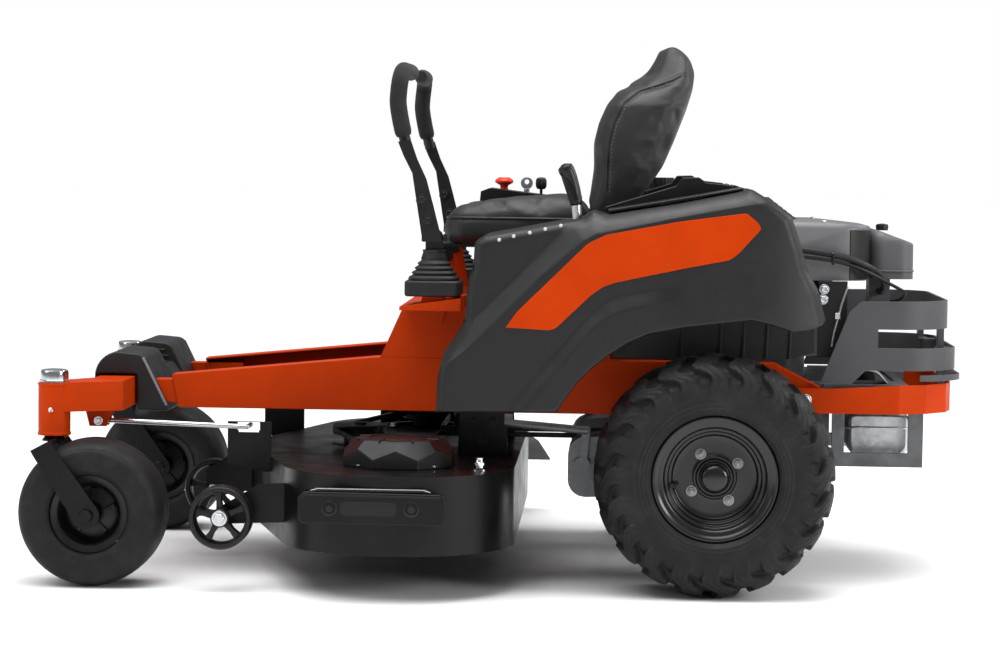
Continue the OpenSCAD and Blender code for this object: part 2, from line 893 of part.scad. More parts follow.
module drive_rim(side) {
    seat = drive_rim_d / 2;
    w = 92;
    disc = 46;
    lug_r = 50.8;
    section = [
        [30, disc], [seat - 22, disc], [seat - 20, -w + 10], [seat - 4, -w - 3], [seat + 16, -w - 6],
        [seat + 16, -w - 1], [seat, -w], [seat, -60], [seat - 12, -50], [seat - 12, 50], [seat, 60],
        [seat, w], [seat + 16, w + 1], [seat + 16, w + 6], [seat - 4, w + 3], [seat - 6, 62],
        [seat - 20, disc + 8], [30, disc + 8]
    ];
    color(black)
        on_side(side) {
            turned_y(section, 0, drive_wheel_y, axle_z);
            // hub, its cap and the shaft into the transaxle
            translate([0, drive_wheel_y, 0]) {
                bar_y(0, axle_z, 34.5, 20, disc + 12);
                bar_y(0, axle_z, 26, disc + 12, disc + 34);
                bar_y(0, axle_z, 14, -230, 30);
            }
        }
    color(silver)
        on_side(side)
            for (i = [0:3])
                translate([0, drive_wheel_y + disc + 8, axle_z])
                    rotate([0, 32 + 90 * i, 0])
                        translate([lug_r, 0, 0]) {
                            rotate([-90, 0, 0]) cylinder(r = 11, h = 13, $fn = 6);
                            rotate([-90, 0, 0]) cylinder(r = 6, h = 19);
                        }
}

// ---- steering levers ----

module lever_base(side) {
    color(black)
        on_side(side) {
            bar_y(lever_pivot[0], lever_pivot[1], 7, lever_y - 39.5, lever_y + 41);
            bar_y(lever_pivot[0], lever_pivot[1], 12, lever_y - 30, lever_y + 30);
            difference() {
                union() {
                    slab([boot_x - 9, lever_y - 8, lever_pivot[1]], [boot_x + 9, lever_y + 8, 640]);
                    side_plate(
                        concat(
                            [[boot_x - 17, 640], [boot_x + 17, 640]],
                            arc(boot_x, swing_z, 17, 0, 180, 10)
                        ),
                        lever_y - 5, lever_y + 5
                    );
                }
                bar_x(lever_y, swing_z, 5 + run_fit, boot_x - 40, boot_x + 40);
            }
        }
}

// Centre line of the lever's flat arm, seen from the side
arm_left = [[563, 660], [577, 747], [584, 791], [601, 824], [612, 851]];
arm_right = [[588, 855], [575, 818], [557, 780], [543, 729], [525, 660]];

module lever_arm(side) {
    arm_y = lever_y + 11.5;
    color(black)
        on_side(side) {
            side_plate(concat(arm_left, arm_right), arm_y, arm_y + 9);
            // swing pin and the eyes that hold it
            bar_x(lever_y, swing_z, 5, boot_x - 24, boot_x + 24);
            for (x = [boot_x - 24, boot_x + 18])
                slab([x, lever_y - 7, swing_z - 7], [x + 6, arm_y + 4, swing_z + 7]);
        }
    color(silver)
        on_side(side)
            for (z = [700, 740])
                hex_bolt_y(boot_x + (z - 660) * 0.3, arm_y + 9, z, 8, 6);
}

// Centre line of a grip, from its foot up and round to its inboard end
grip_bend = 42;
grip_path = concat(
    [[602, lever_y, 862], [609, lever_y, 893], [614, lever_y, 925], [613, lever_y, 948]],
    [for (a = [0:18:90])
        [612 - 6 * a / 90, lever_y - grip_bend * (1 - cos(a)), 958 + 30 * sin(a)]],
    [[604, lever_y - grip_reach / 2, 988], [602, lever_y - grip_reach, 988]]
);

module lever_grip(side) {
    tube_r = 11;
    color(charcoal) on_side(side) swept(grip_path, grip_d / 2, 16, [1, 0, 0]);
    color(black)
        on_side(side) rod([596, lever_y, 840], [602, lever_y, 863], tube_r);
}

// ---- seat ----

module seat_frame() {
    color(black)
        difference() {
            union() {
                side_plate([[540, 652], [225, 652], [225, 646], [540, 646]], -200, 200);
                for (s = [-1, 1])
                    on_side(s) {
                        side_plate(
                            concat(
                                [[500, 648]],
                                [[548, 648]], arc(hinge_seat[0], hinge_seat[1], 14, 0, -180, 8)
                            ),
                            176, 182
                        );
                        slab([260, 150, 556], [300, 190, 646]);
                        // bracket up to the backrest
                        side_plate(
                            [[225, 646], [242, 646], [214, 700], [166, 744], [140, 748], [168, 700]], 182, 188
                        );
                    }
                for (s = [-1, 1])
                    on_side(s) bar_y(hinge_seat[0], hinge_seat[1], 6, 164, 184);
            }
            slab([300, -120, 640], [480, 120, 660]);
        }
}

module seat_cushion() {
    half = seat_w / 2;
    bottom = 654;
    side = concat(
        [[262, bottom]], [[505, bottom]], arc(507, 690, 36, 270, 400, 8),
        [[500, 730], [400, seat_top_z - 10], [330, seat_top_z], [260, seat_top_z - 2], [246, 720]]
    );
    plan = concat(
        arc(480, half - 62, 62, 0, 90, 6), arc(290, half - 46, 46, 90, 180, 5),
        arc(290, -half + 46, 46, 180, 270, 5), arc(480, -half + 62, 62, 270, 360, 6)
    );
    color(charcoal)
        intersection() {
            side_plate(side, -half, half);
            plan_plate(plan, bottom, seat_top_z + 20);
        }
}

module seat_back() {
    half = seat_w / 2;
    side = [
        [160, 752], [218, 756], [226, 803], [229, 850], [220, 890], [204, 925], [186, 949], [162, 968],
        [124, 994], [108, 1020], [97, 1044], [87, 1053], [72, 1042], [54, 1024], [51, 1008], [58, 965],
        [70, 925], [92, 864], [115, 797], [127, 762]
    ];
    front = concat(
        [[-half + 30, 745], [half - 30, 745]], arc(half - 60, 810, 60, 300, 390, 5),
        arc(half - 78, 930, 70, 10, 70, 6), arc(120, 1010, 44, 20, 90, 5),
        arc(-120, 1010, 44, 90, 160, 5), arc(-half + 78, 930, 70, 110, 170, 6),
        arc(-half + 60, 810, 60, 150, 240, 5)
    );
    color(charcoal)
        intersection() {
            side_plate(side, -half, half);
            cross_plate(front, 30, 250);
        }
}

// ---- deck ----

// Plan of the deck: three circles round the spindles, joined by their tangents
function deck_plan(r) =
    let (lean = atan(spindle_stagger / spindle_y))
    concat(
        arc(spindles[0][0], spindles[0][1], r, 180, lean, 24),
        arc(spindles[1][0], spindles[1][1], r, lean, -lean, 6),
        arc(spindles[2][0], spindles[2][1], r, -lean, -180, 24)
    );

module deck_shell() {
    t = steel_t;
    color(black) {
        difference() {
            union() {
                difference() {
                    plan_plate(deck_plan(deck_r), deck_bottom_z, deck_top_z);
                    plan_plate(deck_plan(deck_r - t), deck_bottom_z - cut, deck_top_z - t);
                }
                // stiffening band round the lower edge
                difference() {
                    plan_plate(deck_plan(deck_r), deck_bottom_z, deck_bottom_z + 22);
                    plan_plate(deck_plan(deck_r - 7), deck_bottom_z - cut, deck_bottom_z + 24);
                }
                // spindle housings
                for (p = spindles)
                    translate([p[0], p[1], deck_top_z - 24]) {
                        cylinder(r = 34, h = 40);
                        translate([0, 0, 20]) cylinder(r = 58, h = 6);
                    }
                // front hanger plates with their slots
                for (s = [-1, 1])
                    on_side(s)
                        side_plate(
                            [[943, 222], [943, 303], [858, 303], [858, deck_top_z], [800, deck_top_z],
                             [800, 210], [870, 205]],
                            hanger_y - 6, hanger_y
                        );
                // rear lift brackets
                for (s = [-1, 1])
                    on_side(s)
                        side_plate(
                            [[400, deck_top_z - 1], [500, deck_top_z - 1], [492, 422], [408, 422]], 184, 189
                        );
                // roller brackets
                for (s = [-1, 1])
                    on_side(s) {
                        side_plate(
                            [[770, 130], [770, 205], [860, 200], [900, 176],
                             [944, 150], [940, 124], [916, 124]],
                            462, 468
                        );
                        slab([756, 420, 130], [776, 468, 190]);
                        bar_y(928, 140, 8, 466, 528);
                    }
                for (y = [-28, 22])
                    side_plate(
                        [[915, 140], [915, 225], [960, 218], [1022, 178], [1024, 124], [996, 124]],
                        y, y + 6
                    );
                bar_y(1009, 138, 8, -28, 28);
                // wash-out fitting
                translate([442, 480, deck_top_z - 1]) cylinder(r = 13, h = 6);
                translate([442, 480, deck_top_z + 4]) cylinder(r = 7, h = 18);
            }
            for (p = spindles)
                translate([p[0], p[1], deck_bottom_z]) cylinder(r = 12 + run_fit, h = 200);
            for (s = [-1, 1])
                on_side(s) {
                    slab([882, hanger_y - 10, 282], [922, hanger_y + 4, 297.5]);
                    slab([880, hanger_y - 10, 286], [924, hanger_y + 4, 302]);
                    slab([418, 180, 398], [484, 194, 415]);
                }
            // discharge opening on the right
            slab(
                [450, -spindle_y - deck_r - 20, deck_bottom_z - cut],
                [710, -spindle_y - 90, deck_top_z - 22]
            );
        }
        // chute hinge lugs
        for (x = [420, 700])
            difference() {
                side_plate(
                    [[x, deck_top_z - 5], [x, deck_top_z - 30],
                     [x + 12, deck_top_z - 30], [x + 12, deck_top_z - 5]],
                    chute_hinge[0] - 9, -spindle_y - 130
                );
                bar_x(chute_hinge[0], chute_hinge[1], 4 + run_fit, x - cut, x + 14);
            }
    }
}

module deck_bumper() {
    face = spindle_y + deck_r + bumper_out;
    plate_in = face - bumper_out + 1;
    outline = [[503, 147], [760, 149], [768, 158], [768, 196],
     [757, 207], [506, 205], [497, 196], [497, 156]];
    color(black)
        difference() {
            intersection() {
                side_plate(outline, spindle_y + 100, face);
                union() {
                    slab([490, plate_in, 140], [780, face + cut, 210]);
                    // ribs that reach in to the deck's round wall
                    for (x = [497, 532, 664, 700, 735, 762])
                        slab([x, spindle_y + 110, 140], [x + 6, face, 210]);
                }
            }
            translate([spindle_x, spindle_y, 90]) cylinder(r = deck_r + 0.6, h = 160, $fn = 120);
            for (x = [564, 704])
                bar_y(x, 173, 8, face - 3, face + cut);
        }
}

module belt_covers() {
    low = deck_top_z + 0.5;
    high = 287;
    octagon = [for (a = [22.5:45:360]) [112 * cos(a), 112 * sin(a)]];
    core = [for (a = [22.5:45:360]) [108 * cos(a), 108 * sin(a)]];
    color(black)
        for (p = [spindles[0], spindles[2]])
            translate([p[0], p[1], 0]) {
                difference() {
                    intersection() {
                        plan_plate(octagon, low, high);
                        translate([0, 0, low]) cylinder(r1 = 140, r2 = 86, h = high - low + 0.01, $fn = 8);
                    }
                    intersection() {
                        plan_plate(core, low - cut, high - 4);
                        translate([0, 0, low - cut]) cylinder(r1 = 136, r2 = 84, h = high - low, $fn = 8);
                    }
                    // way in for the belt
                    translate([-64, p[1] > 0 ? -150 : -10, low - cut]) cube([230, 160, 42]);
                }
            }
}

module deck_belt_area(extra) {
    belt_area([[crank_x, 0, 62], [spindles[1][0], 0, 50]], extra);
    belt_area(
        [[spindles[0][0], spindles[0][1], 50], [spindles[1][0], 0, 50], [spindles[2][0], spindles[2][1], 50]],
        extra
    );
}

module deck_belt() {
    color(rubber)
        translate([0, 0, deck_belt_z + 1])
            linear_extrude(belt_h - 2)
                difference() {
                    deck_belt_area(7);
                    deck_belt_area(0.8);
                }
}

module draft_rod() {
    y = 334;
    color(silver) {
        difference() {
            union() {
                bar_y(draft_pivot[0], draft_pivot[1], 12, y - 8, y + 8);
                rod([draft_pivot[0], y, draft_pivot[1]], [draft_end[0], y, draft_end[1]], 5);
            }
            bar_y(draft_pivot[0], draft_pivot[1], 5 + run_fit, y - 12, y + 12);
        }
        bar_y(draft_end[0], draft_end[1], 4.5, hanger_y - 14, y + 4);
    }
}

module blade(i) {
    p = spindles[i];
    z = deck_bottom_z + 14;
    lift = 16;
    color(black)
        translate([p[0], p[1], 0])
            rotate([0, 0, 90]) {
                // bar with sharpened, upturned tips
                difference() {
                    intersection() {
                        translate([-blade_r, -29, z]) cube([2 * blade_r, 58, 5]);
                        translate([0, 0, z - cut]) cylinder(r = blade_r, h = 12);
                    }
                    for (s = [0, 180])
                        rotate([0, 0, s])
                            translate([120, -32, z + 2.5])
                                rotate([30, 0, 0])
                                    cube([100, 12, 8]);
                }
                for (s = [0, 180])
                    rotate([0, 0, s])
                        translate([138, 20, z + 2]) rotate([40, 0, 0]) cube([58, lift, 4]);
                translate([0, 0, z - 9]) cylinder(r = 15, h = 9, $fn = 6);
                translate([0, 0, z + 5]) cylinder(r = 26, h = 12);
                translate([0, 0, z]) cylinder(r = 12, h = 176);
            }
    color(silver)
        translate([p[0], p[1], deck_belt_z])
            difference() {
                translate([0, 0, -4]) cylinder(r = 56, h = belt_h + 8);
                difference() {
                    cylinder(r = 70, h = belt_h);
                    translate([0, 0, -cut]) cylinder(r = 49.5, h = belt_h + 2 * cut);
                }
            }
}

module roller(i) {
    spokes = 5;
    half = i == 1 ? 19 : 22;
    color(black)
        translate(rollers[i])
            rotate([-90, 0, 0])
                translate([0, 0, -half])
                    difference() {
                        cylinder(r = roller_r, h = 2 * half);
                        difference() {
                            translate([0, 0, -cut]) cylinder(r = roller_r - 10, h = 2 * half + 2 * cut);
                            cylinder(r = 18, h = 2 * half);
                            for (k = [0:spokes - 1])
                                rotate([0, 0, 360 * k / spokes + 12])
                                    translate([0, -5, half - 12]) cube([roller_r - 9, 10, 24]);
                        }
                        translate([0, 0, -cut]) cylinder(r = 8 + run_fit, h = 2 * half + 2 * cut);
                    }
}

module discharge_chute() {
    h = chute_hinge;
    out = h[0] - chute_reach;
    top = [
        [h[0] - 2, h[1] + 10], [h[0] - 30, h[1] + 12], [out + 60, h[1] - 48], [out, h[1] - 96],
        [out + 3, h[1] - 99], [out + 62, h[1] - 53], [h[0] - 30, h[1] + 8], [h[0] - 2, h[1] + 6]
    ];
    color(charcoal) {
        intersection() {
            cross_plate(top, 330, 760);
            plan_plate(
                [[436, 0], [436, h[0] - 20], [340, out], [745, out], [696, h[0] - 20], [696, 0]],
                0, 400
            );
        }
        // side skirts
        for (x = [436, 692])
            cross_plate(
                [[h[0] - 12, h[1] + 8], [h[0] - 30, h[1] + 10], [out + 70, h[1] - 50], [out + 120, h[1] - 90],
                 [h[0] - 16, h[1] - 60]],
                x, x + 4
            );
        // hinge barrel and pin
        bar_x(h[0], h[1], 8, 436, 696);
        bar_x(h[0], h[1], 4, 418, 714);
    }
}

module crankshaft() {
    color(silver) {
        translate([crank_x, 0, 246]) cylinder(r = 14, h = 470);
        // drive pulley
        difference() {
            translate([crank_x, 0, drive_belt_z - 6]) cylinder(r = 52, h = belt_h + 12);
            translate([crank_x, 0, drive_belt_z])
                difference() {
                    cylinder(r = 60, h = belt_h);
                    translate([0, 0, -cut]) cylinder(r = 45, h = belt_h + 2 * cut);
                }
        }
    }
    color(black) {
        // electric clutch and its pulley
        difference() {
            translate([crank_x, 0, 250]) cylinder(r = 68, h = 66);
            translate([crank_x, 0, deck_belt_z])
                difference() {
                    cylinder(r = 80, h = belt_h);
                    translate([0, 0, -cut]) cylinder(r = 61.4, h = belt_h + 2 * cut);
                }
        }
        // flywheel fan and debris screen
        difference() {
            translate([crank_x, 0, 604]) cylinder(r = 96, h = 104);
            difference() {
                translate([crank_x, 0, 616]) cylinder(r = 90, h = 86);
                translate([crank_x, 0, 600]) cylinder(r = 24, h = 110);
            }
        }
        difference() {
            translate([crank_x, 0, 708]) cylinder(r1 = 96, r2 = 40, h = 42);
            for (i = [0:4])
                translate([crank_x, 0, 712 + 7 * i])
                    difference() {
                        cylinder(r = 120, h = 3);
                        translate([0, 0, -cut]) cylinder(r = 88 - 9.4 * i, h = 8);
                    }
        }
    }
}

// ---- small controls ----

module pto_knob() {
    color([0.75, 0.12, 0.05])
        translate([437, -370, 0]) {
            translate([0, 0, 732]) cylinder(r = 6, h = 34);
            translate([0, 0, 764]) cylinder(r1 = 13, r2 = 18, h = 8);
            translate([0, 0, 772]) cylinder(r1 = 18, r2 = 12, h = 8);
        }
}

module ignition_key() {
    color(silver) translate([388, -370, 732]) cylinder(r = 6, h = 24);
    color(black)
        difference() {
            translate([388, -372, 768]) rotate([-90, 0, 0]) cylinder(r = 13, h = 4);
            translate([388, -376, 771]) rotate([-90, 0, 0]) cylinder(r = 5, h = 12);
        }
}

module throttle_lever() {
    color(black) {
        bar_y(throttle_x, 728, 2.5, -385, -355);
        bar_y(throttle_x, 728, 5, -374, -366);
        slab([throttle_x - 3, -373, 730], [throttle_x + 3, -367, 760]);
        translate([throttle_x, -370, 768]) sphere(r = 11);
    }
}

module fuel_cap() {
    grips = 16;
    color(black)
        translate([tank_neck[0], -tank_neck[1], 0]) {
            difference() {
                translate([0, 0, 752]) cylinder(r = 35, h = 32);
                translate([0, 0, 751]) cylinder(r = 28, h = 6);
                for (i = [0:grips - 1])
                    rotate([0, 0, 360 * i / grips]) translate([36.5, 0, 750]) cylinder(r = 3.4, h = 40);
            }
            translate([0, 0, 742]) cylinder(r = 21, h = 16);
        }
}

module lift_lever() {
    shaft_y = 414;
    bend = [266, shaft_y, 707];
    neck = [269, shaft_y, 744];
    grip_top = [288, shaft_y, 800];
    color(silver) {
        rod([lift_pivot[0], shaft_y, lift_pivot[1]], bend, 8);
        translate(bend) sphere(r = 8.8);
        rod(bend, neck, 8);
    }
    color(black) {
        rod(neck, grip_top, 13);
        translate(grip_top) sphere(r = 14);
        bar_y(lift_pivot[0], lift_pivot[1], 12, -263, 422);
        for (s = [-1, 1])
            on_side(s) {
                side_plate(
                    [[lift_pivot[0] - 16, lift_pivot[1] - 8], [lift_pin[0] - 4, lift_pin[1] - 11],
                     [lift_pin[0] + 8, lift_pin[1]], [lift_pin[0] + 2, lift_pin[1] + 10],
                     [lift_pivot[0], lift_pivot[1] + 18]],
                    194, 200
                );
                bar_y(lift_pin[0], lift_pin[1], 4.5, 180, 198);
            }
    }
}

translate(origin_shift) {
    frame_rail(1);  // frame_rail_left
    frame_rail(-1);  // frame_rail_right
    front_axle();
    footplate();
    footrest();
    seat_riser();
    engine_plate();
    rear_bumper();
    tow_tab();
    engine_guard();
    muffler();
    engine_block();
    blower_housing();
    air_cleaner();
    fuel_line();
    fender(1);  // fender_left
    fender(-1);  // fender_right
    control_console();
    fuel_tank();
    battery();
    transaxle(1);  // transaxle_left
    transaxle(-1);  // transaxle_right
    drive_belt();
    lever_boots();
    caster_fork(1);  // caster_fork_left
    caster_fork(-1);  // caster_fork_right
    caster_tire(1);  // caster_tire_left
    caster_tire(-1);  // caster_tire_right
    caster_rim(1);  // caster_rim_left
    caster_rim(-1);  // caster_rim_right
    drive_tire(1);  // drive_tire_left
    drive_tire(-1);  // drive_tire_right
    drive_rim(1);  // drive_rim_left
    drive_rim(-1);  // drive_rim_right
    lever_base(1);  // lever_base_left
    lever_base(-1);  // lever_base_right
    lever_arm(1);  // lever_arm_left
    lever_arm(-1);  // lever_arm_right
    lever_grip(1);  // lever_grip_left
    lever_grip(-1);  // lever_grip_right
    seat_frame();
    seat_cushion();
    seat_back();
    lift_lever();
    deck_shell();
    deck_bumper();
    belt_covers();
    deck_belt();
    draft_rod();
    blade(0);  // blade_left
    blade(1);  // blade_center
    blade(2);  // blade_right
    roller(0);  // roller_left
    roller(1);  // roller_center
    roller(2);  // roller_right
    discharge_chute();
    crankshaft();
    pto_knob();
    ignition_key();
    throttle_lever();
    fuel_cap();
}
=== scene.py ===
import bmesh
import bpy
import json
import numpy as np
from math import cos, hypot, pi, radians, sin
from mathutils import Matrix, Vector
from mathutils.bvhtree import BVHTree


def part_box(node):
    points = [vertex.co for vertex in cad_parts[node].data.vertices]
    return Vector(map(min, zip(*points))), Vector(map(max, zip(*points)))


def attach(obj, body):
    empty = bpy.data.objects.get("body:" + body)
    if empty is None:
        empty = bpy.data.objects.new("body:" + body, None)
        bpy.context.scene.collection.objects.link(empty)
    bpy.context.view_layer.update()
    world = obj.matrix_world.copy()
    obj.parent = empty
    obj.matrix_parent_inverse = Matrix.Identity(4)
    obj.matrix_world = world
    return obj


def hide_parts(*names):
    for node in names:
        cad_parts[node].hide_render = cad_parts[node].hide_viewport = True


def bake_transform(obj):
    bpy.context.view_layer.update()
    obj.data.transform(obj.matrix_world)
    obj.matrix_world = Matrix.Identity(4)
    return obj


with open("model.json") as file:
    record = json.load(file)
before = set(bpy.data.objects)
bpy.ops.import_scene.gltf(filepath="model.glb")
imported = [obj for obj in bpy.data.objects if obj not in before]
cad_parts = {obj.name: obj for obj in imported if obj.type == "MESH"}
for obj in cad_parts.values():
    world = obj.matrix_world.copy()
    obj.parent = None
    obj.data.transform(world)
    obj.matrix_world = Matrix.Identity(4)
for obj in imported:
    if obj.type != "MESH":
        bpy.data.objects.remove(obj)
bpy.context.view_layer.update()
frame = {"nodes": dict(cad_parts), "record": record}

SIDES = ((1, "left"), (-1, "right"))
DRIVE_AXLE = (0, 410, 228.5)  # the left drive wheel's centre, in design millimetres
CASTER_AXLE = (1181, 430, 139.5)  # the left front wheel's centre
CASTER_TUBE = (1258, 430)  # the left swivel tube's middle


# ---- the shared frame: design millimetres to row metres ----

def box_centre(node):
    low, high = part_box(node)
    return (Vector(low) + Vector(high)) / 2


AXLE_X = box_centre("drive_tire_left").x
MIDDLE_Y = (box_centre("drive_tire_left").y + box_centre("drive_tire_right").y) / 2
OFFSET = (AXLE_X * 1000, MIDDLE_Y * 1000)


def P(x, y, z):
    """Millimetres from the ground point below the rear axle, in the row frame's metres."""
    return Vector((AXLE_X + x / 1000, MIDDLE_Y + y / 1000, z / 1000))


def linear(hex_colour):
    """An sRGB hex colour as linear RGBA."""
    parts = [int(hex_colour[i:i + 2], 16) / 255 for i in (0, 2, 4)]
    return tuple(c / 12.92 if c <= 0.04045 else ((c + 0.055) / 1.055) ** 2.4 for c in parts) + (1,)


# ---- materials ----

class Nodes:
    """A small helper to wire a node material."""

    def __init__(self, name):
        self.material = bpy.data.materials.new(name)
        self.material.use_nodes = True
        self.tree = self.material.node_tree
        self.shader = self.tree.nodes["Principled BSDF"]
        self.coords = self.tree.nodes.new("ShaderNodeTexCoord").outputs["Object"]

    def link(self, a, b):
        self.tree.links.new(a, b)

    def mapped(self, scale):
        node = self.tree.nodes.new("ShaderNodeMapping")
        node.inputs["Scale"].default_value = scale
        self.link(self.coords, node.inputs["Vector"])
        return node.outputs["Vector"]

    def noise(self, scale, detail=3.0, rough=0.55, vector=None):
        node = self.tree.nodes.new("ShaderNodeTexNoise")
        node.inputs["Scale"].default_value = scale
        node.inputs["Detail"].default_value = detail
        node.inputs["Roughness"].default_value = rough
        self.link(vector or self.coords, node.inputs["Vector"])
        return node.outputs["Fac"]

    def cells(self, scale, feature="F1", vector=None):
        node = self.tree.nodes.new("ShaderNodeTexVoronoi")
        node.feature = feature
        node.inputs["Scale"].default_value = scale
        self.link(vector or self.coords, node.inputs["Vector"])
        return node.outputs["Distance"]

    def ramp(self, factor, stops):
        node = self.tree.nodes.new("ShaderNodeValToRGB")
        ramp = node.color_ramp
        while len(ramp.elements) < len(stops):
            ramp.elements.new(0.5)
        for element, (at, colour) in zip(ramp.elements, stops):
            element.position = at
            element.color = colour if len(colour) == 4 else (*colour, 1)
        self.link(factor, node.inputs["Fac"])
        return node.outputs["Color"]

    def grey(self, factor, low, high, a=0.35, b=0.65):
        return self.ramp(factor, [(a, (low,) * 3), (b, (high,) * 3)])

    def mix(self, factor, a, b, blend="MIX"):
        node = self.tree.nodes.new("ShaderNodeMix")
        node.data_type = "RGBA"
        node.blend_type = blend
        for value, socket in ((factor, node.inputs[0]), (a, node.inputs[6]), (b, node.inputs[7])):
            if isinstance(value, bpy.types.NodeSocket):
                self.link(value, socket)
            else:
                socket.default_value = value
        return node.outputs[2]

    def maths(self, kind, a, b=0.0):
        node = self.tree.nodes.new("ShaderNodeMath")
        node.operation = kind
        for value, socket in ((a, node.inputs[0]), (b, node.inputs[1])):
            if isinstance(value, bpy.types.NodeSocket):
                self.link(value, socket)
            else:
                socket.default_value = value
        return node.outputs[0]

    def bump(self, height, strength, distance, under=None):
        node = self.tree.nodes.new("ShaderNodeBump")
        node.inputs["Strength"].default_value = strength
        node.inputs["Distance"].default_value = distance
        self.link(height, node.inputs["Height"])
        if under is not None:
            self.link(under, node.inputs["Normal"])
        return node.outputs["Normal"]

    def finish(self, colour, rough, normal=None, **constants):
        for value, name in ((colour, "Base Color"), (rough, "Roughness")):
            socket = self.shader.inputs[name]
            if isinstance(value, bpy.types.NodeSocket):
                self.link(value, socket)
            else:
                socket.default_value = value
        if normal is not None:
            self.link(normal, self.shader.inputs["Normal"])
        for name, value in constants.items():
            self.shader.inputs[name.replace("_", " ")].default_value = value
        return self.material


def tint(hex_colour, factor):
    r, g, b, _ = linear(hex_colour)
    return (r * factor, g * factor, b * factor, 1)


def painted(name, colour, rough, coat, grime=0.10, peel=0.06, specular=0.3):
    """Powder coat or gloss paint: orange peel, soft mottling, dulled patches and dark specks."""
    n = Nodes(name)
    soft = n.noise(7, 4)
    base = n.mix(n.grey(soft, 0.0, 1.0), tint(colour, 0.90), tint(colour, 1.08))
    specks = n.grey(n.noise(190, 2), 0.0, 1.0, 0.66, 0.74)
    base = n.mix(n.maths("MULTIPLY", specks, grime), base, tint(colour, 0.6))
    roughness = n.grey(n.noise(16, 5), rough * 0.82, rough * 1.22)
    normal = n.bump(n.noise(520, 2), peel, 0.0006)
    return n.finish(base, roughness, normal, Coat_Weight=coat, Coat_Roughness=0.12,
                    Specular_IOR_Level=specular)


def moulded(name, colour, rough, grain_scale=900, grain=0.18, variation=0.08):
    """Textured injection-moulded plastic with a fine spark-eroded grain."""
    n = Nodes(name)
    base = n.mix(n.grey(n.noise(5, 4), 0.0, 1.0), tint(colour, 1 - variation), tint(colour, 1 + variation))
    scuffs = n.grey(n.noise(60, 6, 0.7, n.mapped((1, 1, 3.5))), 0.0, 1.0, 0.62, 0.78)
    base = n.mix(n.maths("MULTIPLY", scuffs, 0.05), base, linear("9b9b9b"))
    roughness = n.grey(n.noise(22, 4), rough - 0.05, rough + 0.07)
    grain_bump = n.bump(n.cells(grain_scale), grain, 0.0004)
    normal = n.bump(n.noise(grain_scale * 0.4, 2), grain * 0.5, 0.0005, grain_bump)
    return n.finish(base, roughness, normal, Specular_IOR_Level=0.32)


def metal(name, colour, rough, brushed=(1, 1, 1), scale=320, strength=0.06, patches=0.25, metallic=1.0):
    """Plated, cast or brushed metal: streaks in one direction and cloudy patches."""
    n = Nodes(name)
    base = n.mix(n.grey(n.noise(14, 5), 0.0, 1.0), tint(colour, 1 - patches), tint(colour, 1.03))
    streaks = n.noise(scale, 4, 0.6, n.mapped(brushed))
    roughness = n.grey(streaks, rough * 0.75, min(rough * 1.35, 1))
    normal = n.bump(streaks, strength, 0.0003)
    return n.finish(base, roughness, normal, Metallic=metallic)


def rubber_material(name, colour, rough, scale=420, strength=0.16, dust=0.10):
    """Cured rubber: a matt skin with fine pits, browner where dust has settled."""
    n = Nodes(name)
    base = n.mix(n.grey(n.noise(9, 5), 0.0, 1.0), tint(colour, 0.82), tint(colour, 1.12))
    dusty = n.grey(n.noise(26, 6, 0.7), 0.0, 1.0, 0.48, 0.75)
    base = n.mix(n.maths("MULTIPLY", dusty, dust), base, linear("7a746c"))
    roughness = n.grey(n.noise(30, 4), rough - 0.07, min(rough + 0.08, 1))
    fine = n.bump(n.noise(scale, 3), strength, 0.0005)
    normal = n.bump(n.noise(60, 3), strength * 0.4, 0.001, fine)
    return n.finish(base, roughness, normal, Specular_IOR_Level=0.28)


def foam_material():
    """The levers' closed-cell foam, with open pores."""
    n = Nodes("closed_cell_foam")
    pores = n.cells(900)
    base = n.mix(n.grey(pores, 0.0, 1.0, 0.05, 0.5), linear("101011"), linear("232324"))
    normal = n.bump(n.noise(700, 2), 0.35, 0.0006, n.bump(pores, 0.35, 0.0006))
    return n.finish(base, n.grey(n.noise(40, 3), 0.78, 0.95), normal, Sheen_Weight=0.05,
                    Sheen_Roughness=0.5, Specular_IOR_Level=0.25)


def vinyl_material():
    """Seat vinyl: pebbled leather grain, soft creases, a slight sheen and shinier worn patches."""
    n = Nodes("seat_vinyl_grain")
    pebbles = n.cells(420, "F1")
    creases = n.noise(38, 6, 0.65)
    base = n.mix(n.grey(n.noise(6, 4), 0.0, 1.0), linear("1a1a1b"), linear("242425"))
    base = n.mix(n.grey(pebbles, 0.0, 0.35, 0.0, 0.6), base, linear("161617"))
    roughness = n.grey(n.noise(10, 4), 0.42, 0.58)
    normal = n.bump(creases, 0.10, 0.002, n.bump(pebbles, 0.30, 0.0007))
    return n.finish(base, roughness, normal, Sheen_Weight=0.03, Sheen_Roughness=0.4,
                    Specular_IOR_Level=0.35)


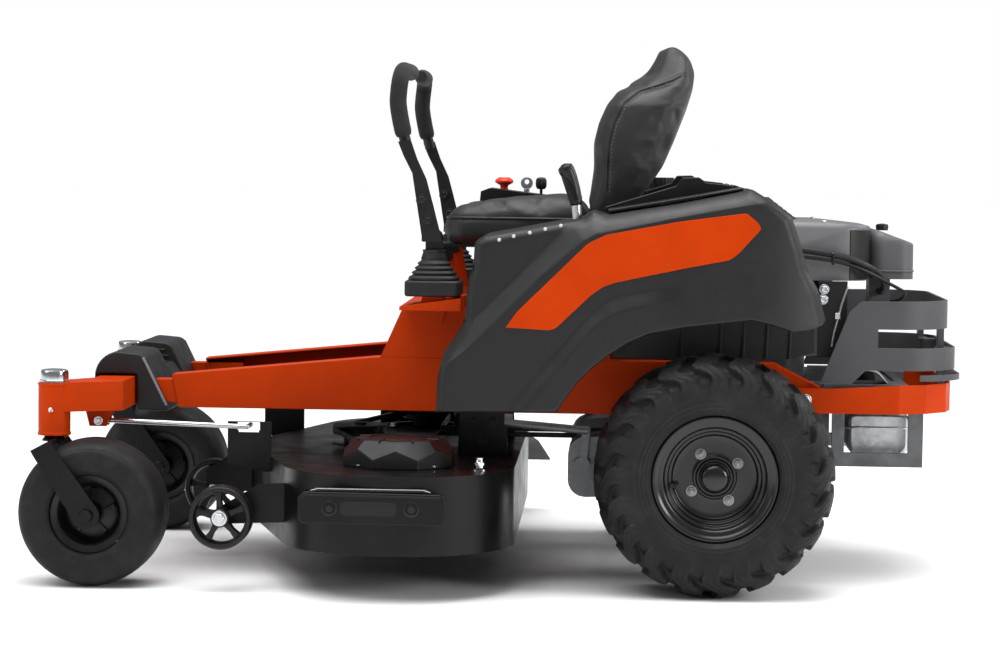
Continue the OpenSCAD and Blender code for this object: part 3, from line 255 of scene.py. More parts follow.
MATERIALS = {
    "orange_paint": painted("orange_powder_coat", "ae3200", 0.42, 0.0, 0.03, 0.06, 0.07),
    "black_paint": painted("black_gloss_paint", "060607", 0.34, 0.0, 0.03, 0.05, 0.22),
    "satin_black": painted("black_satin_paint", "0f0f10", 0.40, 0.0, 0.05, 0.10, 0.3),
    "dark_plastic": moulded("charcoal_panel_plastic", "161617", 0.46),
    "recess_plastic": moulded("dark_recess_plastic", "1c1c1d", 0.5),
    "black_plastic": moulded("black_moulded_plastic", "0e0e0f", 0.38, 700, 0.14),
    "guard_paint": painted("charcoal_guard_paint", "3f3f41", 0.46, 0.05, 0.06, 0.12),
    "bare_steel": metal("zinc_plated_steel", "c9cacd", 0.24, (1, 1, 9)),
    "nut_steel": metal("dull_zinc_nut", "8e9092", 0.34, (1, 1, 5), 260, 0.05, 0.2),
    "plate_grey": metal("galvanised_plate", "6a6c6e", 0.42, (1, 1, 1), 70, 0.04, 0.4, 0.85),
    "chrome": metal("bright_chrome", "d9dbde", 0.12, (1, 1, 4), 200, 0.02, 0.06),
    "cast_aluminium": metal("cast_aluminium", "707274", 0.50, (1, 1, 1), 480, 0.30, 0.2, 0.9),
    "heat_shield": metal("galvanised_sheet", "b9bbbe", 0.36, (1, 1, 1), 90, 0.05, 0.35, 0.95),
    "dark_metal": metal("phosphated_steel", "2c2c2e", 0.42, (1, 1, 1), 300, 0.12, 0.2, 0.8),
    "hose_rubber": rubber_material("hose_rubber", "1b1b1c", 0.55, 600, 0.10, 0.05),
    "tire_rubber": rubber_material("tire_rubber", "0e0e0f", 0.62, dust=0.05),
    "boot_rubber": rubber_material("boot_rubber", "1d1d1e", 0.50, 500, 0.08, 0.04),
    "belt_rubber": rubber_material("belt_rubber", "151515", 0.7, 800, 0.2, 0.1),
    "foam_grip": foam_material(),
    "seat_vinyl": vinyl_material(),
    "gloss_rim": painted("wheel_black_paint", "0e0e0f", 0.30, 0.3, 0.05, 0.05),
    "blade_steel": painted("blade_black_paint", "1a1a1b", 0.38, 0.0, 0.25),
    "fan_metal": moulded("fan_black_plastic", "1c1c1d", 0.45, 500),
    "red_plastic": moulded("red_knob_plastic", "cb2f12", 0.32, 600, 0.06),
    "key_metal": metal("key_steel", "b4b4b6", 0.3),
    "seat_trim": moulded("seat_piping_vinyl", "232324", 0.45, 700, 0.12),
    "cover_plastic": moulded("fan_cover_plastic", "5c5c5e", 0.42, 800, 0.12),
    "cover_light": moulded("filter_cover_plastic", "525254", 0.46, 800, 0.12),
    # light grey used only for a painted highlight along the footrest's edge
    "painted_highlight_grey": moulded("grey_painted_highlight", "6d6d70", 0.5, 900, 0.05),
    "thread": moulded("seam_thread", "5a5a5c", 0.8, 1500, 0.4),
    # pale white for the fender's height marks, and for a painted highlight on the deck plate's cap
    "white_print_and_highlight": moulded("pale_print_and_painted_highlight", "b9bcc0", 0.5, 900, 0.05),
}
# The record's material slot of each look that isn't named after its slot.
NODE_SLOT = {s["node"]: s["material_slot"] for s in frame["record"]["subparts"]}


# ---- shapes ----

def curve_through(points, per_span=8):
    """A Catmull-Rom curve through points of any dimension."""
    p = [np.array(q, float) for q in points]
    p = [2 * p[0] - p[1]] + p + [2 * p[-1] - p[-2]]
    out = []
    for i in range(1, len(p) - 2):
        for k in range(per_span):
            t = k / per_span
            out.append(0.5 * (2 * p[i] + (p[i + 1] - p[i - 1]) * t
                              + (2 * p[i - 1] - 5 * p[i] + 4 * p[i + 1] - p[i + 2]) * t * t
                              + (3 * p[i] - p[i - 1] - 3 * p[i + 1] + p[i + 2]) * t ** 3))
    out.append(p[-2])
    return out


def turned_faces(n, m, closed=False):
    """Faces of a skin of n sections round an axis, with m points in each."""
    return [[k * m + i, (k + 1) % n * m + i, (k + 1) % n * m + (i + 1) % m, k * m + (i + 1) % m]
            for k in range(n) for i in range(m if closed else m - 1)]


def stacked_faces(rows, m):
    """Faces of a skin of closed rings that lie one above another, with m points in each."""
    return [[i * m + j, i * m + (j + 1) % m, (i + 1) * m + (j + 1) % m, (i + 1) * m + j]
            for i in range(rows - 1) for j in range(m)]


class Shape:
    """Collects vertices in design millimetres, then becomes one piece on a body."""

    def __init__(self, mirror=1):
        self.v = []
        self.f = []
        self.mirror = mirror

    def add(self, verts, faces):
        start = len(self.v)
        for x, y, z in verts:
            self.v.append((x, y * self.mirror, z))
        for face in faces:
            loop = [start + i for i in face]
            self.f.append(loop if self.mirror > 0 else loop[::-1])
        return self

    def prism(self, points, low, high, plane="xz"):
        """A polygon in a plane, extruded along the third axis."""
        area = sum(a[0] * b[1] - b[0] * a[1] for a, b in zip(points, points[1:] + points[:1]))
        ring = list(points) if area > 0 else list(points)[::-1]
        place = {"xz": lambda p, t: (p[0], t, p[1]), "xy": lambda p, t: (p[0], p[1], t),
                 "yz": lambda p, t: (t, p[0], p[1])}[plane]
        n = len(ring)
        verts = [place(p, low) for p in ring] + [place(p, high) for p in ring]
        faces = [list(range(n))[::-1], list(range(n, 2 * n))] + stacked_faces(2, n)
        if plane == "xz":
            faces = [f[::-1] for f in faces]
        return self.add(verts, faces)

    def box(self, low, high):
        """A block between two opposite corners."""
        (a, b, c), (d, e, f) = low, high
        return self.prism([(a, b), (d, b), (d, e), (a, e)], c, f, "xy")

    def lathe(self, profile, centre, axis="y", n=64, closed=False):
        """Turns points of (radius, along) round an axis through centre."""
        verts = []
        for k in range(n):
            c, s = cos(2 * pi * k / n), sin(2 * pi * k / n)
            for r, t in profile:
                if axis == "y":
                    verts.append((centre[0] + r * s, centre[1] + t, centre[2] + r * c))
                elif axis == "z":
                    verts.append((centre[0] + r * c, centre[1] + r * s, centre[2] + t))
                else:
                    verts.append((centre[0] + t, centre[1] + r * c, centre[2] + r * s))
        return self.add(verts, turned_faces(n, len(profile), closed))

    def tube(self, path, r, n=12, cap=True):
        """A round tube along a path; r is one number or one per point."""
        path = [np.array(p, float) for p in path]
        radii = [r] * len(path) if isinstance(r, (int, float)) else list(r)
        verts = []
        up = None
        for i, p in enumerate(path):
            t = path[min(i + 1, len(path) - 1)] - path[max(i - 1, 0)]
            t = t / np.linalg.norm(t)
            if up is None:
                up = np.cross(t, (0, 0, 1)) if abs(t[2]) < 0.9 else np.cross(t, (1, 0, 0))
            up = up - t * np.dot(up, t)
            up = up / np.linalg.norm(up)
            side = np.cross(t, up)
            for k in range(n):
                a = 2 * pi * k / n
                verts.append(tuple(p + radii[i] * (cos(a) * up + sin(a) * side)))
        faces = stacked_faces(len(path), n)
        if cap:
            faces.append(list(range(n))[::-1])
            faces.append([(len(path) - 1) * n + k for k in range(n)])
        return self.add(verts, faces)

    def bolt(self, at, direction, r=8, h=6, washer=True):
        """A hex head with a chamfered top on a washer."""
        d = np.array(direction, float)
        d = d / np.linalg.norm(d)
        u = np.cross(d, (0, 0, 1)) if abs(d[2]) < 0.9 else np.cross(d, (1, 0, 0))
        u = u / np.linalg.norm(u)
        w = np.cross(d, u)
        at = np.array(at, float)

        def ring(radius, t, n, turn=0.0):
            return [tuple(at + d * t + radius * (cos(2 * pi * k / n + turn) * u + sin(2 * pi * k / n + turn) * w))
                    for k in range(n)]

        base = 0.0
        if washer:
            n = 20
            rows = ring(r * 1.35, 0, n) + ring(r * 1.35, r * 0.16, n) + ring(r * 1.25, r * 0.22, n)
            self.add(rows, stacked_faces(3, n) + [[2 * n + k for k in range(n)]])
            base = r * 0.18
        n = 6
        rows = ring(r, base, n) + ring(r, base + h * 0.86, n) + ring(r * 0.86, base + h, n) \
            + ring(r * 0.55, base + h, n) + ring(r * 0.5, base + h * 0.9, n)
        return self.add(rows, stacked_faces(5, n) + [[4 * n + k for k in range(n)]])

    def loose(self, name):
        """A new object with merged corners and outward normals, that is no piece yet."""
        mesh = bpy.data.meshes.new(name)
        mesh.from_pydata([tuple(P(*v)) for v in self.v], [], self.f)
        mesh.validate()
        clean = bmesh.new()
        clean.from_mesh(mesh)
        bmesh.ops.remove_doubles(clean, verts=clean.verts, dist=1e-6)
        bmesh.ops.recalc_face_normals(clean, faces=clean.faces)
        clean.to_mesh(mesh)
        clean.free()
        obj = bpy.data.objects.new(name, mesh)
        bpy.context.scene.collection.objects.link(obj)
        return obj

    def piece(self, name, material, body, bevel=0.0, segments=2, angle=32, smooth=36, replaces=(),
              ride=True):
        """The finished piece: bevel in millimetres, the angles in degrees."""
        return dress(self.loose(name), material, body, bevel, segments, angle, smooth, replaces, ride)


def dress(obj, material, body, bevel, segments, angle, smooth, replaces, ride):
    """Gives a mesh its material, rounded edges, smooth shading and body."""
    mesh = obj.data
    mesh.materials.clear()
    mesh.materials.append(MATERIALS[material])
    if bevel:
        edge = obj.modifiers.new("edges", "BEVEL")
        edge.width = bevel / 1000
        edge.segments = segments
        edge.limit_method = "ANGLE"
        edge.angle_limit = radians(angle)
        edge.harden_normals = False
        edge.miter_outer = "MITER_ARC"
    for polygon in mesh.polygons:
        polygon.use_smooth = True
    keep = obj.modifiers.new("normals", "WEIGHTED_NORMAL")
    keep.keep_sharp = True
    if not bevel:
        mark_sharp(mesh, smooth)
    if ride:
        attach(obj, body)
    if replaces:
        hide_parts(replaces)
    return obj


def mark_sharp(mesh, smooth):
    """Marks edges sharper than the limit, so flat faces stay flat."""
    work = bmesh.new()
    work.from_mesh(mesh)
    for edge in work.edges:
        if len(edge.link_faces) != 2 or edge.calc_face_angle(0) > radians(smooth):
            edge.smooth = False
    work.to_mesh(mesh)
    work.free()


# ---- camera, floor and light ----

def add_camera():
    """At the photograph's distance, height and slight downward tilt, on the machine's left."""
    pitch, yaw, roll = radians(3.38), radians(2.355), radians(0.76)
    right = Vector((-cos(yaw), -sin(yaw), 0))
    ahead = Vector((sin(yaw), -cos(yaw), 0))
    forward = ahead * cos(pitch) - Vector((0, 0, 1)) * sin(pitch)
    up = ahead * sin(pitch) + Vector((0, 0, 1)) * cos(pitch)
    right, up = right * cos(roll) + up * sin(roll), up * cos(roll) - right * sin(roll)
    camera = bpy.data.objects.new("camera", bpy.data.cameras.new("camera"))
    bpy.context.scene.collection.objects.link(camera)
    camera.data.sensor_width = 36
    camera.data.lens = 104.87
    camera.data.clip_end = 60
    turn = Matrix((right, up, -forward)).transposed()
    camera.matrix_world = Matrix.Translation(P(182.94, 5930, 828.06)) @ turn.to_4x4()
    bpy.context.scene.camera = camera


def add_light(name, at, aim, size, power, tall=None):
    data = bpy.data.lights.new(name, "AREA")
    data.shape = "RECTANGLE"
    data.size = size
    data.size_y = tall or size
    data.energy = power
    light = bpy.data.objects.new(name, data)
    bpy.context.scene.collection.objects.link(light)
    at, aim = P(*at), P(*aim)
    light.matrix_world = Matrix.Translation(at) @ (at - aim).to_track_quat("Z", "Y").to_matrix().to_4x4()
    return light


def add_studio():
    """A pale floor, four area lights and a wide soft sun."""
    mesh = bpy.data.meshes.new("floor")
    half = 90
    low = P(0, 0, 0)
    mesh.from_pydata([(low.x + sx * half, low.y + sy * half, -0.0005) for sx, sy in
                      ((-1, -1), (1, -1), (1, 1), (-1, 1))], [], [(0, 1, 2, 3)])
    floor = bpy.data.objects.new("floor", mesh)
    bpy.context.scene.collection.objects.link(floor)
    n = Nodes("pale_floor")
    n.finish(n.mix(n.grey(n.noise(0.8, 2), 0.0, 1.0), (0.86, 0.86, 0.86, 1), (0.89, 0.89, 0.89, 1)), 0.7)
    mesh.materials.append(n.material)
    add_world()
    add_light("top", (100, 300, 3400), (250, 0, 400), 2.6, 70, 2.0)
    add_light("rim", (-3000, -900, 2300), (-100, 0, 500), 1.6, 50)
    add_light("rear_side", (-3300, 2300, 1500), (-150, 300, 450), 1.3, 75)
    add_light("front", (3400, 1600, 1500), (700, 0, 300), 1.4, 16)
    sun = bpy.data.objects.new("sun", bpy.data.lights.new("sun", "SUN"))
    sun.data.energy = 2.7
    sun.data.angle = radians(55)
    sun.matrix_world = Vector((0.22, 0.26, 1)).to_track_quat("Z", "Y").to_matrix().to_4x4()
    bpy.context.scene.collection.objects.link(sun)
    bpy.context.scene.view_settings.view_transform = "Standard"


def add_world():
    """White behind the machine, and a dimmer room for it to reflect."""
    world = bpy.data.worlds.new("studio")
    world.use_nodes = True
    bpy.context.scene.world = world
    tree = world.node_tree
    seen = tree.nodes["Background"]
    seen.inputs["Color"].default_value = (1.0, 1.0, 1.0, 1)
    room = tree.nodes.new("ShaderNodeBackground")
    split = tree.nodes.new("ShaderNodeSeparateXYZ")
    ramp = tree.nodes.new("ShaderNodeValToRGB")
    tree.links.new(tree.nodes.new("ShaderNodeTexCoord").outputs["Generated"], split.inputs[0])
    tree.links.new(split.outputs["Z"], ramp.inputs["Fac"])
    tree.links.new(ramp.outputs["Color"], room.inputs["Color"])
    low, high = ramp.color_ramp.elements
    low.position, low.color = 0.0, (0.16, 0.16, 0.165, 1)
    high.position, high.color = 0.8, (0.55, 0.56, 0.58, 1)
    mix = tree.nodes.new("ShaderNodeMixShader")
    tree.links.new(tree.nodes.new("ShaderNodeLightPath").outputs["Is Camera Ray"], mix.inputs[0])
    tree.links.new(room.outputs[0], mix.inputs[1])
    tree.links.new(seen.outputs[0], mix.inputs[2])
    tree.links.new(mix.outputs[0], tree.nodes["World Output"].inputs["Surface"])


add_camera()
add_studio()


# ---- CAD nodes that stay: eased edges and their own materials ----

CAD_LOOK = {
    "fuel_tank": "black_plastic", "lever_base_left": "satin_black", "lever_base_right": "satin_black",
    "lever_arm_left": "satin_black", "lever_arm_right": "satin_black", "seat_frame": "satin_black",
    "engine_plate": "plate_grey", "footplate": "satin_black",
}
FACETED = ("rear_bumper", "belt_covers")


def ease_cad(node, width):
    """Joins the CAD triangles into flat faces and rounds the sharp edges a little."""
    obj = frame["nodes"][node]
    for polygon in obj.data.polygons:
        polygon.use_smooth = node not in FACETED
    weld = obj.modifiers.new("weld", "WELD")
    weld.merge_threshold = 2e-6
    flat = obj.modifiers.new("flat", "DECIMATE")
    flat.decimate_type = "DISSOLVE"
    flat.angle_limit = radians(0.6)
    edge = obj.modifiers.new("edges", "BEVEL")
    edge.width = width / 1000
    edge.segments = 2
    edge.limit_method = "ANGLE"
    edge.angle_limit = radians(40)
    edge.use_clamp_overlap = True
    if node not in FACETED:
        normals = obj.modifiers.new("normals", "WEIGHTED_NORMAL")
        normals.keep_sharp = False


for node_name, node_object in frame["nodes"].items():
    look = CAD_LOOK.get(node_name, NODE_SLOT[node_name])
    node_object.data.materials.clear()
    node_object.data.materials.append(MATERIALS[look])

EASE = {  # edge radii in millimetres, where they aren't 1.2
    "control_console": 6, "fuel_tank": 10, "engine_guard": 1.6, "deck_shell": 2, "front_axle": 2.5,
    "frame_rail_left": 3, "frame_rail_right": 3, "seat_riser": 3, "transaxle_left": 4, "transaxle_right": 4,
    "engine_block": 2, "belt_covers": 4, "discharge_chute": 2, "rear_bumper": 1.8, "fuel_cap": 2,
}
REPLACED = ("fender_", "drive_tire", "drive_rim", "caster_tire", "caster_rim", "roller_", "seat_cushion",
            "seat_back", "lever_grip", "lever_boots", "blower_housing", "air_cleaner", "fuel_line", "muffler",
            "footrest")
for node_name in frame["nodes"]:
    if not node_name.startswith(REPLACED):
        ease_cad(node_name, EASE.get(node_name, 1.2))


# ---- tyres and wheels ----

def tyre_section(r_out, r_seat, half_w, steps, reach=126, power=0.62):
    """(radius, along, angle) points of a tyre's outside, from bead to bead over the tread."""
    middle = (r_out + r_seat) / 2
    lift = r_out - middle
    out = []
    for i in range(steps + 1):
        a = -reach + 2 * reach * i / steps
        c, s = cos(radians(a)), sin(radians(a))
        radius = middle + lift * np.sign(c) * abs(c) ** power
        out.append((radius, half_w * np.sign(s) * abs(s) ** power, a))
    return out


TREAD_EDGE = 96  # degrees round the section, where the lugs end
SIDEWALL_DEPTH = 6.5  # how far the sidewall lies below the lugs' tops


def tread_depth(turn, a):
    """How far the skin lies below the lugs' tops: curved lugs, sipes and a zigzag groove."""
    across = abs(a)
    side = np.sign(a) if a else 1
    w = a / TREAD_EDGE
    pitches = 20
    phase = pitches * turn + 0.16 * np.sin(2 * np.pi * w * 1.6) + 0.55 * abs(w) + (0.5 if side > 0 else 0)
    wave = 0.5 + 0.5 * np.cos(2 * np.pi * phase)
    lug = np.clip((wave - 0.26) / 0.17, 0, 1)
    lug = lug * lug * (3 - 2 * lug)
    shoulder = np.clip((abs(w) - 0.38) / 0.12, 0, 1)
    ribs = 0.5 + 0.5 * np.cos(2 * np.pi * (4 * phase + 0.25 * np.sin(9 * w)))
    deep = 9.5
    depth = deep * (1 - lug) + lug * 1.7 * shoulder * (1 - ribs) ** 2
    zigzag = 0.05 * np.sin(2 * np.pi * pitches * turn)
    middle = np.clip(1 - np.abs(w - zigzag) / 0.05, 0, 1)
    pocket = np.clip(1 - np.hypot((np.mod(phase, 1) - 0.5) / 0.24, (abs(w) - 0.70) / 0.13), 0, 1) ** 0.6
    depth = np.maximum(depth, deep * 0.9 * middle) + 4.5 * pocket
    fade = 1 - np.clip((across - 78) / 14, 0, 1)
    return depth * fade + SIDEWALL_DEPTH * (1 - fade)


def drive_tyre(side, name):
    """The turf tyre: its section turned round the axle, with the tread cut in and rings on the sidewall."""
    node = "drive_tire_" + name
    low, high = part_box(node)
    r_out = (high[2] - low[2]) * 500
    half = (high[1] - low[1]) * 500
    section = tyre_section(r_out, 101.8, half, 110)
    turns = 500
    turn = np.arange(turns) / turns
    rows = []
    for i, (r, t, a) in enumerate(section):
        r0, t0, _ = section[max(i - 1, 0)]
        r1, t1, _ = section[min(i + 1, len(section) - 1)]
        dr, dt = r1 - r0, t1 - t0
        size = hypot(dr, dt) or 1
        normal = (dt / size, -dr / size)
        depth = tread_depth(turn, a) if abs(a) < TREAD_EDGE else np.full(turns, SIDEWALL_DEPTH)
        if abs(a) > TREAD_EDGE:
            depth = depth * max(0.0, 1 - (abs(a) - TREAD_EDGE) / 22)
            ring = 1.6 * sum(np.exp(-((abs(a) - at) / 1.6) ** 2) for at in (101, 108, 115))
            depth = depth + 1.2 - ring * 0.8
        rows.append((r - normal[0] * depth, t - normal[1] * depth))
    verts = []
    _, axle_y, axle_z = DRIVE_AXLE
    for k in range(turns):
        c, s = cos(2 * pi * turn[k]), sin(2 * pi * turn[k])
        for radii, along in rows:
            verts.append((radii[k] * s, axle_y + along[k], axle_z + radii[k] * c))
    tyre = Shape(side)
    tyre.add(verts, turned_faces(turns, len(rows), closed=True))
    return tyre.piece("turf_tyre_" + name, "tire_rubber", "drive_" + name, smooth=40, replaces=node)


def caster_tyre(side, name):
    """The smooth front tyre, with fine moulding rings."""
    section = tyre_section(139.5, 63.8, 73.5, 80)
    profile = []
    for r, t, a in section:
        dip = 1.2 * sum(exp_bump(abs(a) - at, 1.5) for at in (66, 90, 108))
        fine = 0.5 * exp_bump(a, 1.2)
        profile.append((r - dip - fine, t))
    tyre = Shape(side)
    tyre.lathe(profile, CASTER_AXLE, "y", 144, closed=True)
    return tyre.piece("smooth_tyre_" + name, "tire_rubber", "caster_" + name, smooth=50,
                      replaces="caster_tire_" + name)


def exp_bump(x, width):
    return float(np.exp(-(x / width) ** 2))


def drive_rim(side, name):
    """The stepped steel disc with its hub cap, four nuts and the tyre's valve."""
    body = "drive_" + name
    centre = DRIVE_AXLE
    _, hub_y, hub_z = centre
    face = [(118, 92.5), (119.5, 95), (118.5, 98), (115, 99.5), (111, 98), (107, 95.4), (102, 94), (98, 92),
            (95.5, 88), (94.8, 82), (92.8, 79.6), (89.6, 79), (88, 76), (87.6, 70), (85.6, 67.6), (82.4, 67),
            (80.8, 64), (80.2, 59), (77.6, 56.4), (73, 55.4), (64, 55), (46, 55), (42, 55.8), (39.5, 57.6),
            (36.5, 57.6), (34.6, 56.2), (34.5, 51)]
    back = [(34.5, 46), (79.5, 46), (81.5, 10), (82, -50), (88, -60), (88, -90), (98, -95), (104, -96), (117, -98),
            (117.5, -93), (101.4, -92), (101.4, -60), (89.5, -50), (89.5, 50), (101.4, 60), (101.4, 92)]
    rim = Shape(side)
    rim.lathe(curve_through(face, 4) + back, centre, "y", 120, closed=True)
    rim.lathe([(26.5, 50), (26.5, 78), (25.6, 82.5), (22.5, 86), (17, 88), (9, 88.8), (0.4, 89)], centre, "y", 72)
    rim.lathe([(34.5, 52), (34.5, 58), (33.6, 59.4), (31.5, 60), (29.4, 59.4), (28.4, 58), (26.6, 57.6)], centre,
              "y", 72)
    rim.lathe([(34.4, 52), (34.4, 20), (14, 20), (14, -230), (0.4, -230)], centre, "y", 48)
    rim.piece("wheel_disc_" + name, "gloss_rim", body, smooth=35, replaces="drive_rim_" + name)
    nuts = Shape(side)
    for k in range(4):
        a = radians(32 + 90 * k)
        at = (50.8 * cos(a), hub_y + 55, hub_z - 50.8 * sin(a))
        nuts.bolt(at, (0, 1, 0), 8.0, 9)
        nuts.lathe([(4.4, 8), (4.4, 12), (3.6, 13.2), (0.3, 13.4)], at, "y", 18)
    nuts.piece("wheel_nuts_" + name, "nut_steel", body, bevel=0.6, segments=2)
    stem = Shape(side)
    a = radians(190)
    root = np.array((-72 * cos(a), hub_y + 57, hub_z + 72 * sin(a)))
    stem.tube([root, root + (4, 10, -1), root + (7, 20, -2)], [4.2, 3.6, 3.2], 14)
    stem.tube([root + (7, 20, -2), root + (9.5, 27, -2.6)], [4.2, 4.2], 14)
    stem.piece("tyre_valve_" + name, "hose_rubber", body)
    cap_ring = Shape(side)
    cap_ring.lathe([(25.9, 58.5), (28.2, 59.5), (28.2, 61), (26, 62)], centre, "y", 72, closed=True)
    cap_ring.piece("cap_ring_" + name, "black_plastic", body)


def caster_rim(side, name):
    """The moulded front disc, with five ribs on each face."""
    centre = CASTER_AXLE
    profile = [(8.3, 80), (15, 80), (17, 78), (17.5, 30), (20, 20), (30, 16), (44, 15), (50, 18), (54, 26),
               (57, 44), (59, 52), (63, 55), (70, 57), (73, 57.5), (73.5, 55.5), (72, 54.4), (64.5, 53.4), (63.4, 50)]
    half = curve_through(profile, 3)
    rim = Shape(side)
    rim.lathe([tuple(p) for p in half] + [(p[0], -p[1]) for p in reversed(half)], centre, "y", 96, closed=True)
    rim.piece("caster_disc_" + name, "black_plastic", "caster_" + name, smooth=35,
              replaces="caster_rim_" + name)
    ribs = Shape(side)
    for k in range(5):
        a = radians(72 * k + 20)
        spoke = [(18 * cos(a), 18 * sin(a)), (46 * cos(a + 0.12), 46 * sin(a + 0.12)),
                 (46 * cos(a - 0.12), 46 * sin(a - 0.12))]
        for t in (15, -21):
            outline = [(centre[0] + p[0], centre[2] + p[1]) for p in spoke]
            ribs.prism(outline, centre[1] + t, centre[1] + t + 6, "xz")
    ribs.piece("caster_ribs_" + name, "black_plastic", "caster_" + name, bevel=1.2)


for side, name in SIDES:
    drive_tyre(side, name)
    caster_tyre(side, name)
    drive_rim(side, name)
    caster_rim(side, name)


# ---- moulded fenders ----

FENDER_TOP = [
    (526, 345), (524, 409), (514, 455), (493, 486), (475, 515), (472, 562), (469, 595), (460, 615), (458, 664),
    (440, 677), (255, 712), (235, 726), (212, 718), (76, 741), (-40, 765), (-58, 772), (-86, 755), (-135, 721),
    (-155, 663), (-167, 620), (-190, 580), (-198, 547), (-203, 528)]
FENDER_ARCH = [
    (-203, 526), (-196, 517), (-172, 509), (-139, 505), (-104, 517), (-63, 526), (59, 511), (128, 498), (168, 480),
    (207, 454), (236, 430), (261, 404), (286, 369), (297, 349), (526, 344)]
ORANGE_PANEL = [
    (396, 506), (316, 502), (303, 505), (236, 570), (214, 585), (192, 593), (75, 619), (-20, 638), (-36, 650),
    (-78, 697), (-72, 708), (-50, 726), (77, 708), (211, 682), (245, 665), (375, 536)]
SHOULDER_HIGH = [(560, 406), (457, 520), (435, 541), (366, 610), (293, 687), (273, 702), (240, 712), (120, 740),
                 (-60, 775)]
SHOULDER_LOW = [(560, 395), (471, 462), (434, 497), (381, 552), (333, 600), (252, 670), (227, 683), (195, 690),
                (76, 715), (-45, 738), (-90, 745)]
FLARE_HIGH = [(430, 290), (389, 346), (363, 386), (306, 453), (249, 520), (213, 555), (185, 568), (127, 580),
              (60, 588)]
FLARE_LOW = [(430, 262), (370, 340), (289, 438), (233, 508), (196, 534), (127, 553), (60, 566)]


def line_distance(x, z, line):
    """Signed distance of points from a polyline; positive on the right of its direction."""
    best = np.full(np.shape(x), 1e9)
    sign = np.ones(np.shape(x))
    for (x0, z0), (x1, z1) in zip(line, line[1:]):
        dx, dz = x1 - x0, z1 - z0
        t = np.clip(((x - x0) * dx + (z - z0) * dz) / (dx * dx + dz * dz), 0, 1)
        ex, ez = x - (x0 + t * dx), z - (z0 + t * dz)
        d = np.hypot(ex, ez)
        near = d < best
        best = np.where(near, d, best)
        sign = np.where(near, np.where(dx * ez - dz * ex >= 0, -1.0, 1.0), sign)
    return best * sign


def between(x, z, first, second):
    """0 before the first line, 1 past the second, and a smooth ramp between the two."""
    a = line_distance(x, z, first)
    b = line_distance(x, z, second)
    t = np.clip(a / np.maximum(a - b, 1e-6), 0, 1)
    t = np.where((a > 0) & (b > 0), 1.0, np.where((a < 0) & (b < 0), 0.0, t))
    return 0.85 * t + 0.15 * t * t * (3 - 2 * t)


def fender_skin(x, z):
    """How far out the fender's side lies at a point seen from the side."""
    past_shoulder = between(x, z, SHOULDER_HIGH[::-1], SHOULDER_LOW[::-1])
    past_flare = between(x, z, FLARE_HIGH[::-1], FLARE_LOW[::-1])
    y = 474 + 24 * past_shoulder
    rear = np.clip((x - 60) / 90, 0, 1)
    y = y + 10 * past_flare * rear + 6 * (1 - rear) * np.clip((640 - z) / 120, 0, 1)
    back = np.clip((-60 - x) / 150, 0, 1)
    y = y - 46 * back ** 2.0
    d_top = np.abs(line_distance(x, z, FENDER_TOP))
    r = 20
    y = y - (r - np.sqrt(np.maximum(0, r * r - np.maximum(0, r - d_top) ** 2)))
    d_arch = np.abs(line_distance(x, z, FENDER_ARCH))
    r = 5
    y = y - (r - np.sqrt(np.maximum(0, r * r - np.maximum(0, r - d_arch) ** 2)))
    return y


def resample(line, step):
    """The line with a point about every step along its stretches."""
    out = [line[0]]
    for (x0, z0), (x1, z1) in zip(line, line[1:]):
        n = max(1, int(round(hypot(x1 - x0, z1 - z0) / step)))
        out += [(x0 + (x1 - x0) * k / n, z0 + (z1 - z0) * k / n) for k in range(1, n + 1)]
    return out


def fender(side, name):
    """One moulded shell: the side, the top in to the seat, and a lip under the arch and the lower edge."""
    top = curve_corners(FENDER_TOP, 9)
    top = resample(top, 5)
    arch_x = [p[0] for p in FENDER_ARCH]
    arch_z = [p[1] for p in FENDER_ARCH]
    columns = []
    last = 1e9
    for x, z in top:
        if last - x > 0.25:
            columns.append((x, z, float(np.interp(x, arch_x, arch_z))))
            last = x
    rows = 96
    t = np.linspace(0, 1, rows)
    t = 0.7 * t + 0.3 * (0.5 - 0.5 * np.cos(np.pi * t))
    xs = np.array([c[0] for c in columns])[:, None] + 0 * t
    tops = np.array([c[1] for c in columns])[:, None]
    lows = np.array([c[2] for c in columns])[:, None]
    zs = tops + (lows - tops) * t
    ys = fender_skin(xs, zs)
    verts, faces = [], []
    n = len(columns)
    for i in range(n):
        for j in range(rows):
            verts.append((xs[i, j], ys[i, j], zs[i, j]))
    for i in range(n - 1):
        for j in range(rows - 1):
            a = i * rows + j
            faces.append([a, a + 1, a + rows + 1, a + rows])
    # the top, from the outer edge in to the seat
    across = [447, 427, 401, 370, 330, 300, 268]
    base = len(verts)
    for i in range(n):
        for y in across:
            verts.append((xs[i, 0], min(y, ys[i, 0] - 1), zs[i, 0]))
    k = len(across)
    for i in range(n - 1):
        front = columns[i][0] > 452
        slot = side > 0 and 246 < (columns[i][0] + columns[i + 1][0]) / 2 < 428
        for j in range(-1, k - 1):
            if front and j >= 1:
                continue
            if slot and j == 1:
                continue
            a = base + i * k + j if j >= 0 else i * rows
            b = base + (i + 1) * k + j if j >= 0 else (i + 1) * rows
            faces.append([a, b, base + (i + 1) * k + j + 1, base + i * k + j + 1])
    # the lip under the arch and the lower edge
    base = len(verts)
    for i in range(n):
        for inward in (5, 26):
            verts.append((xs[i, -1], ys[i, -1] - inward, zs[i, -1] + 0.2))
    for i in range(n - 1):
        for j in range(-1, 1):
            a = base + i * 2 + j if j >= 0 else i * rows + rows - 1
            b = base + (i + 1) * 2 + j if j >= 0 else (i + 1) * rows + rows - 1
            faces.append([a, b, base + (i + 1) * 2 + j + 1, base + i * 2 + j + 1][::-1])
    skin = Shape(side)
    skin.add(verts, faces)
    obj = skin.piece("fender_skin_" + name, "dark_plastic", "chassis", smooth=48, replaces="fender_" + name)
    thick = obj.modifiers.new("wall", "SOLIDIFY")
    thick.thickness = 0.0035
    thick.offset = -1
    obj.modifiers.move(len(obj.modifiers) - 1, 0)
    return obj


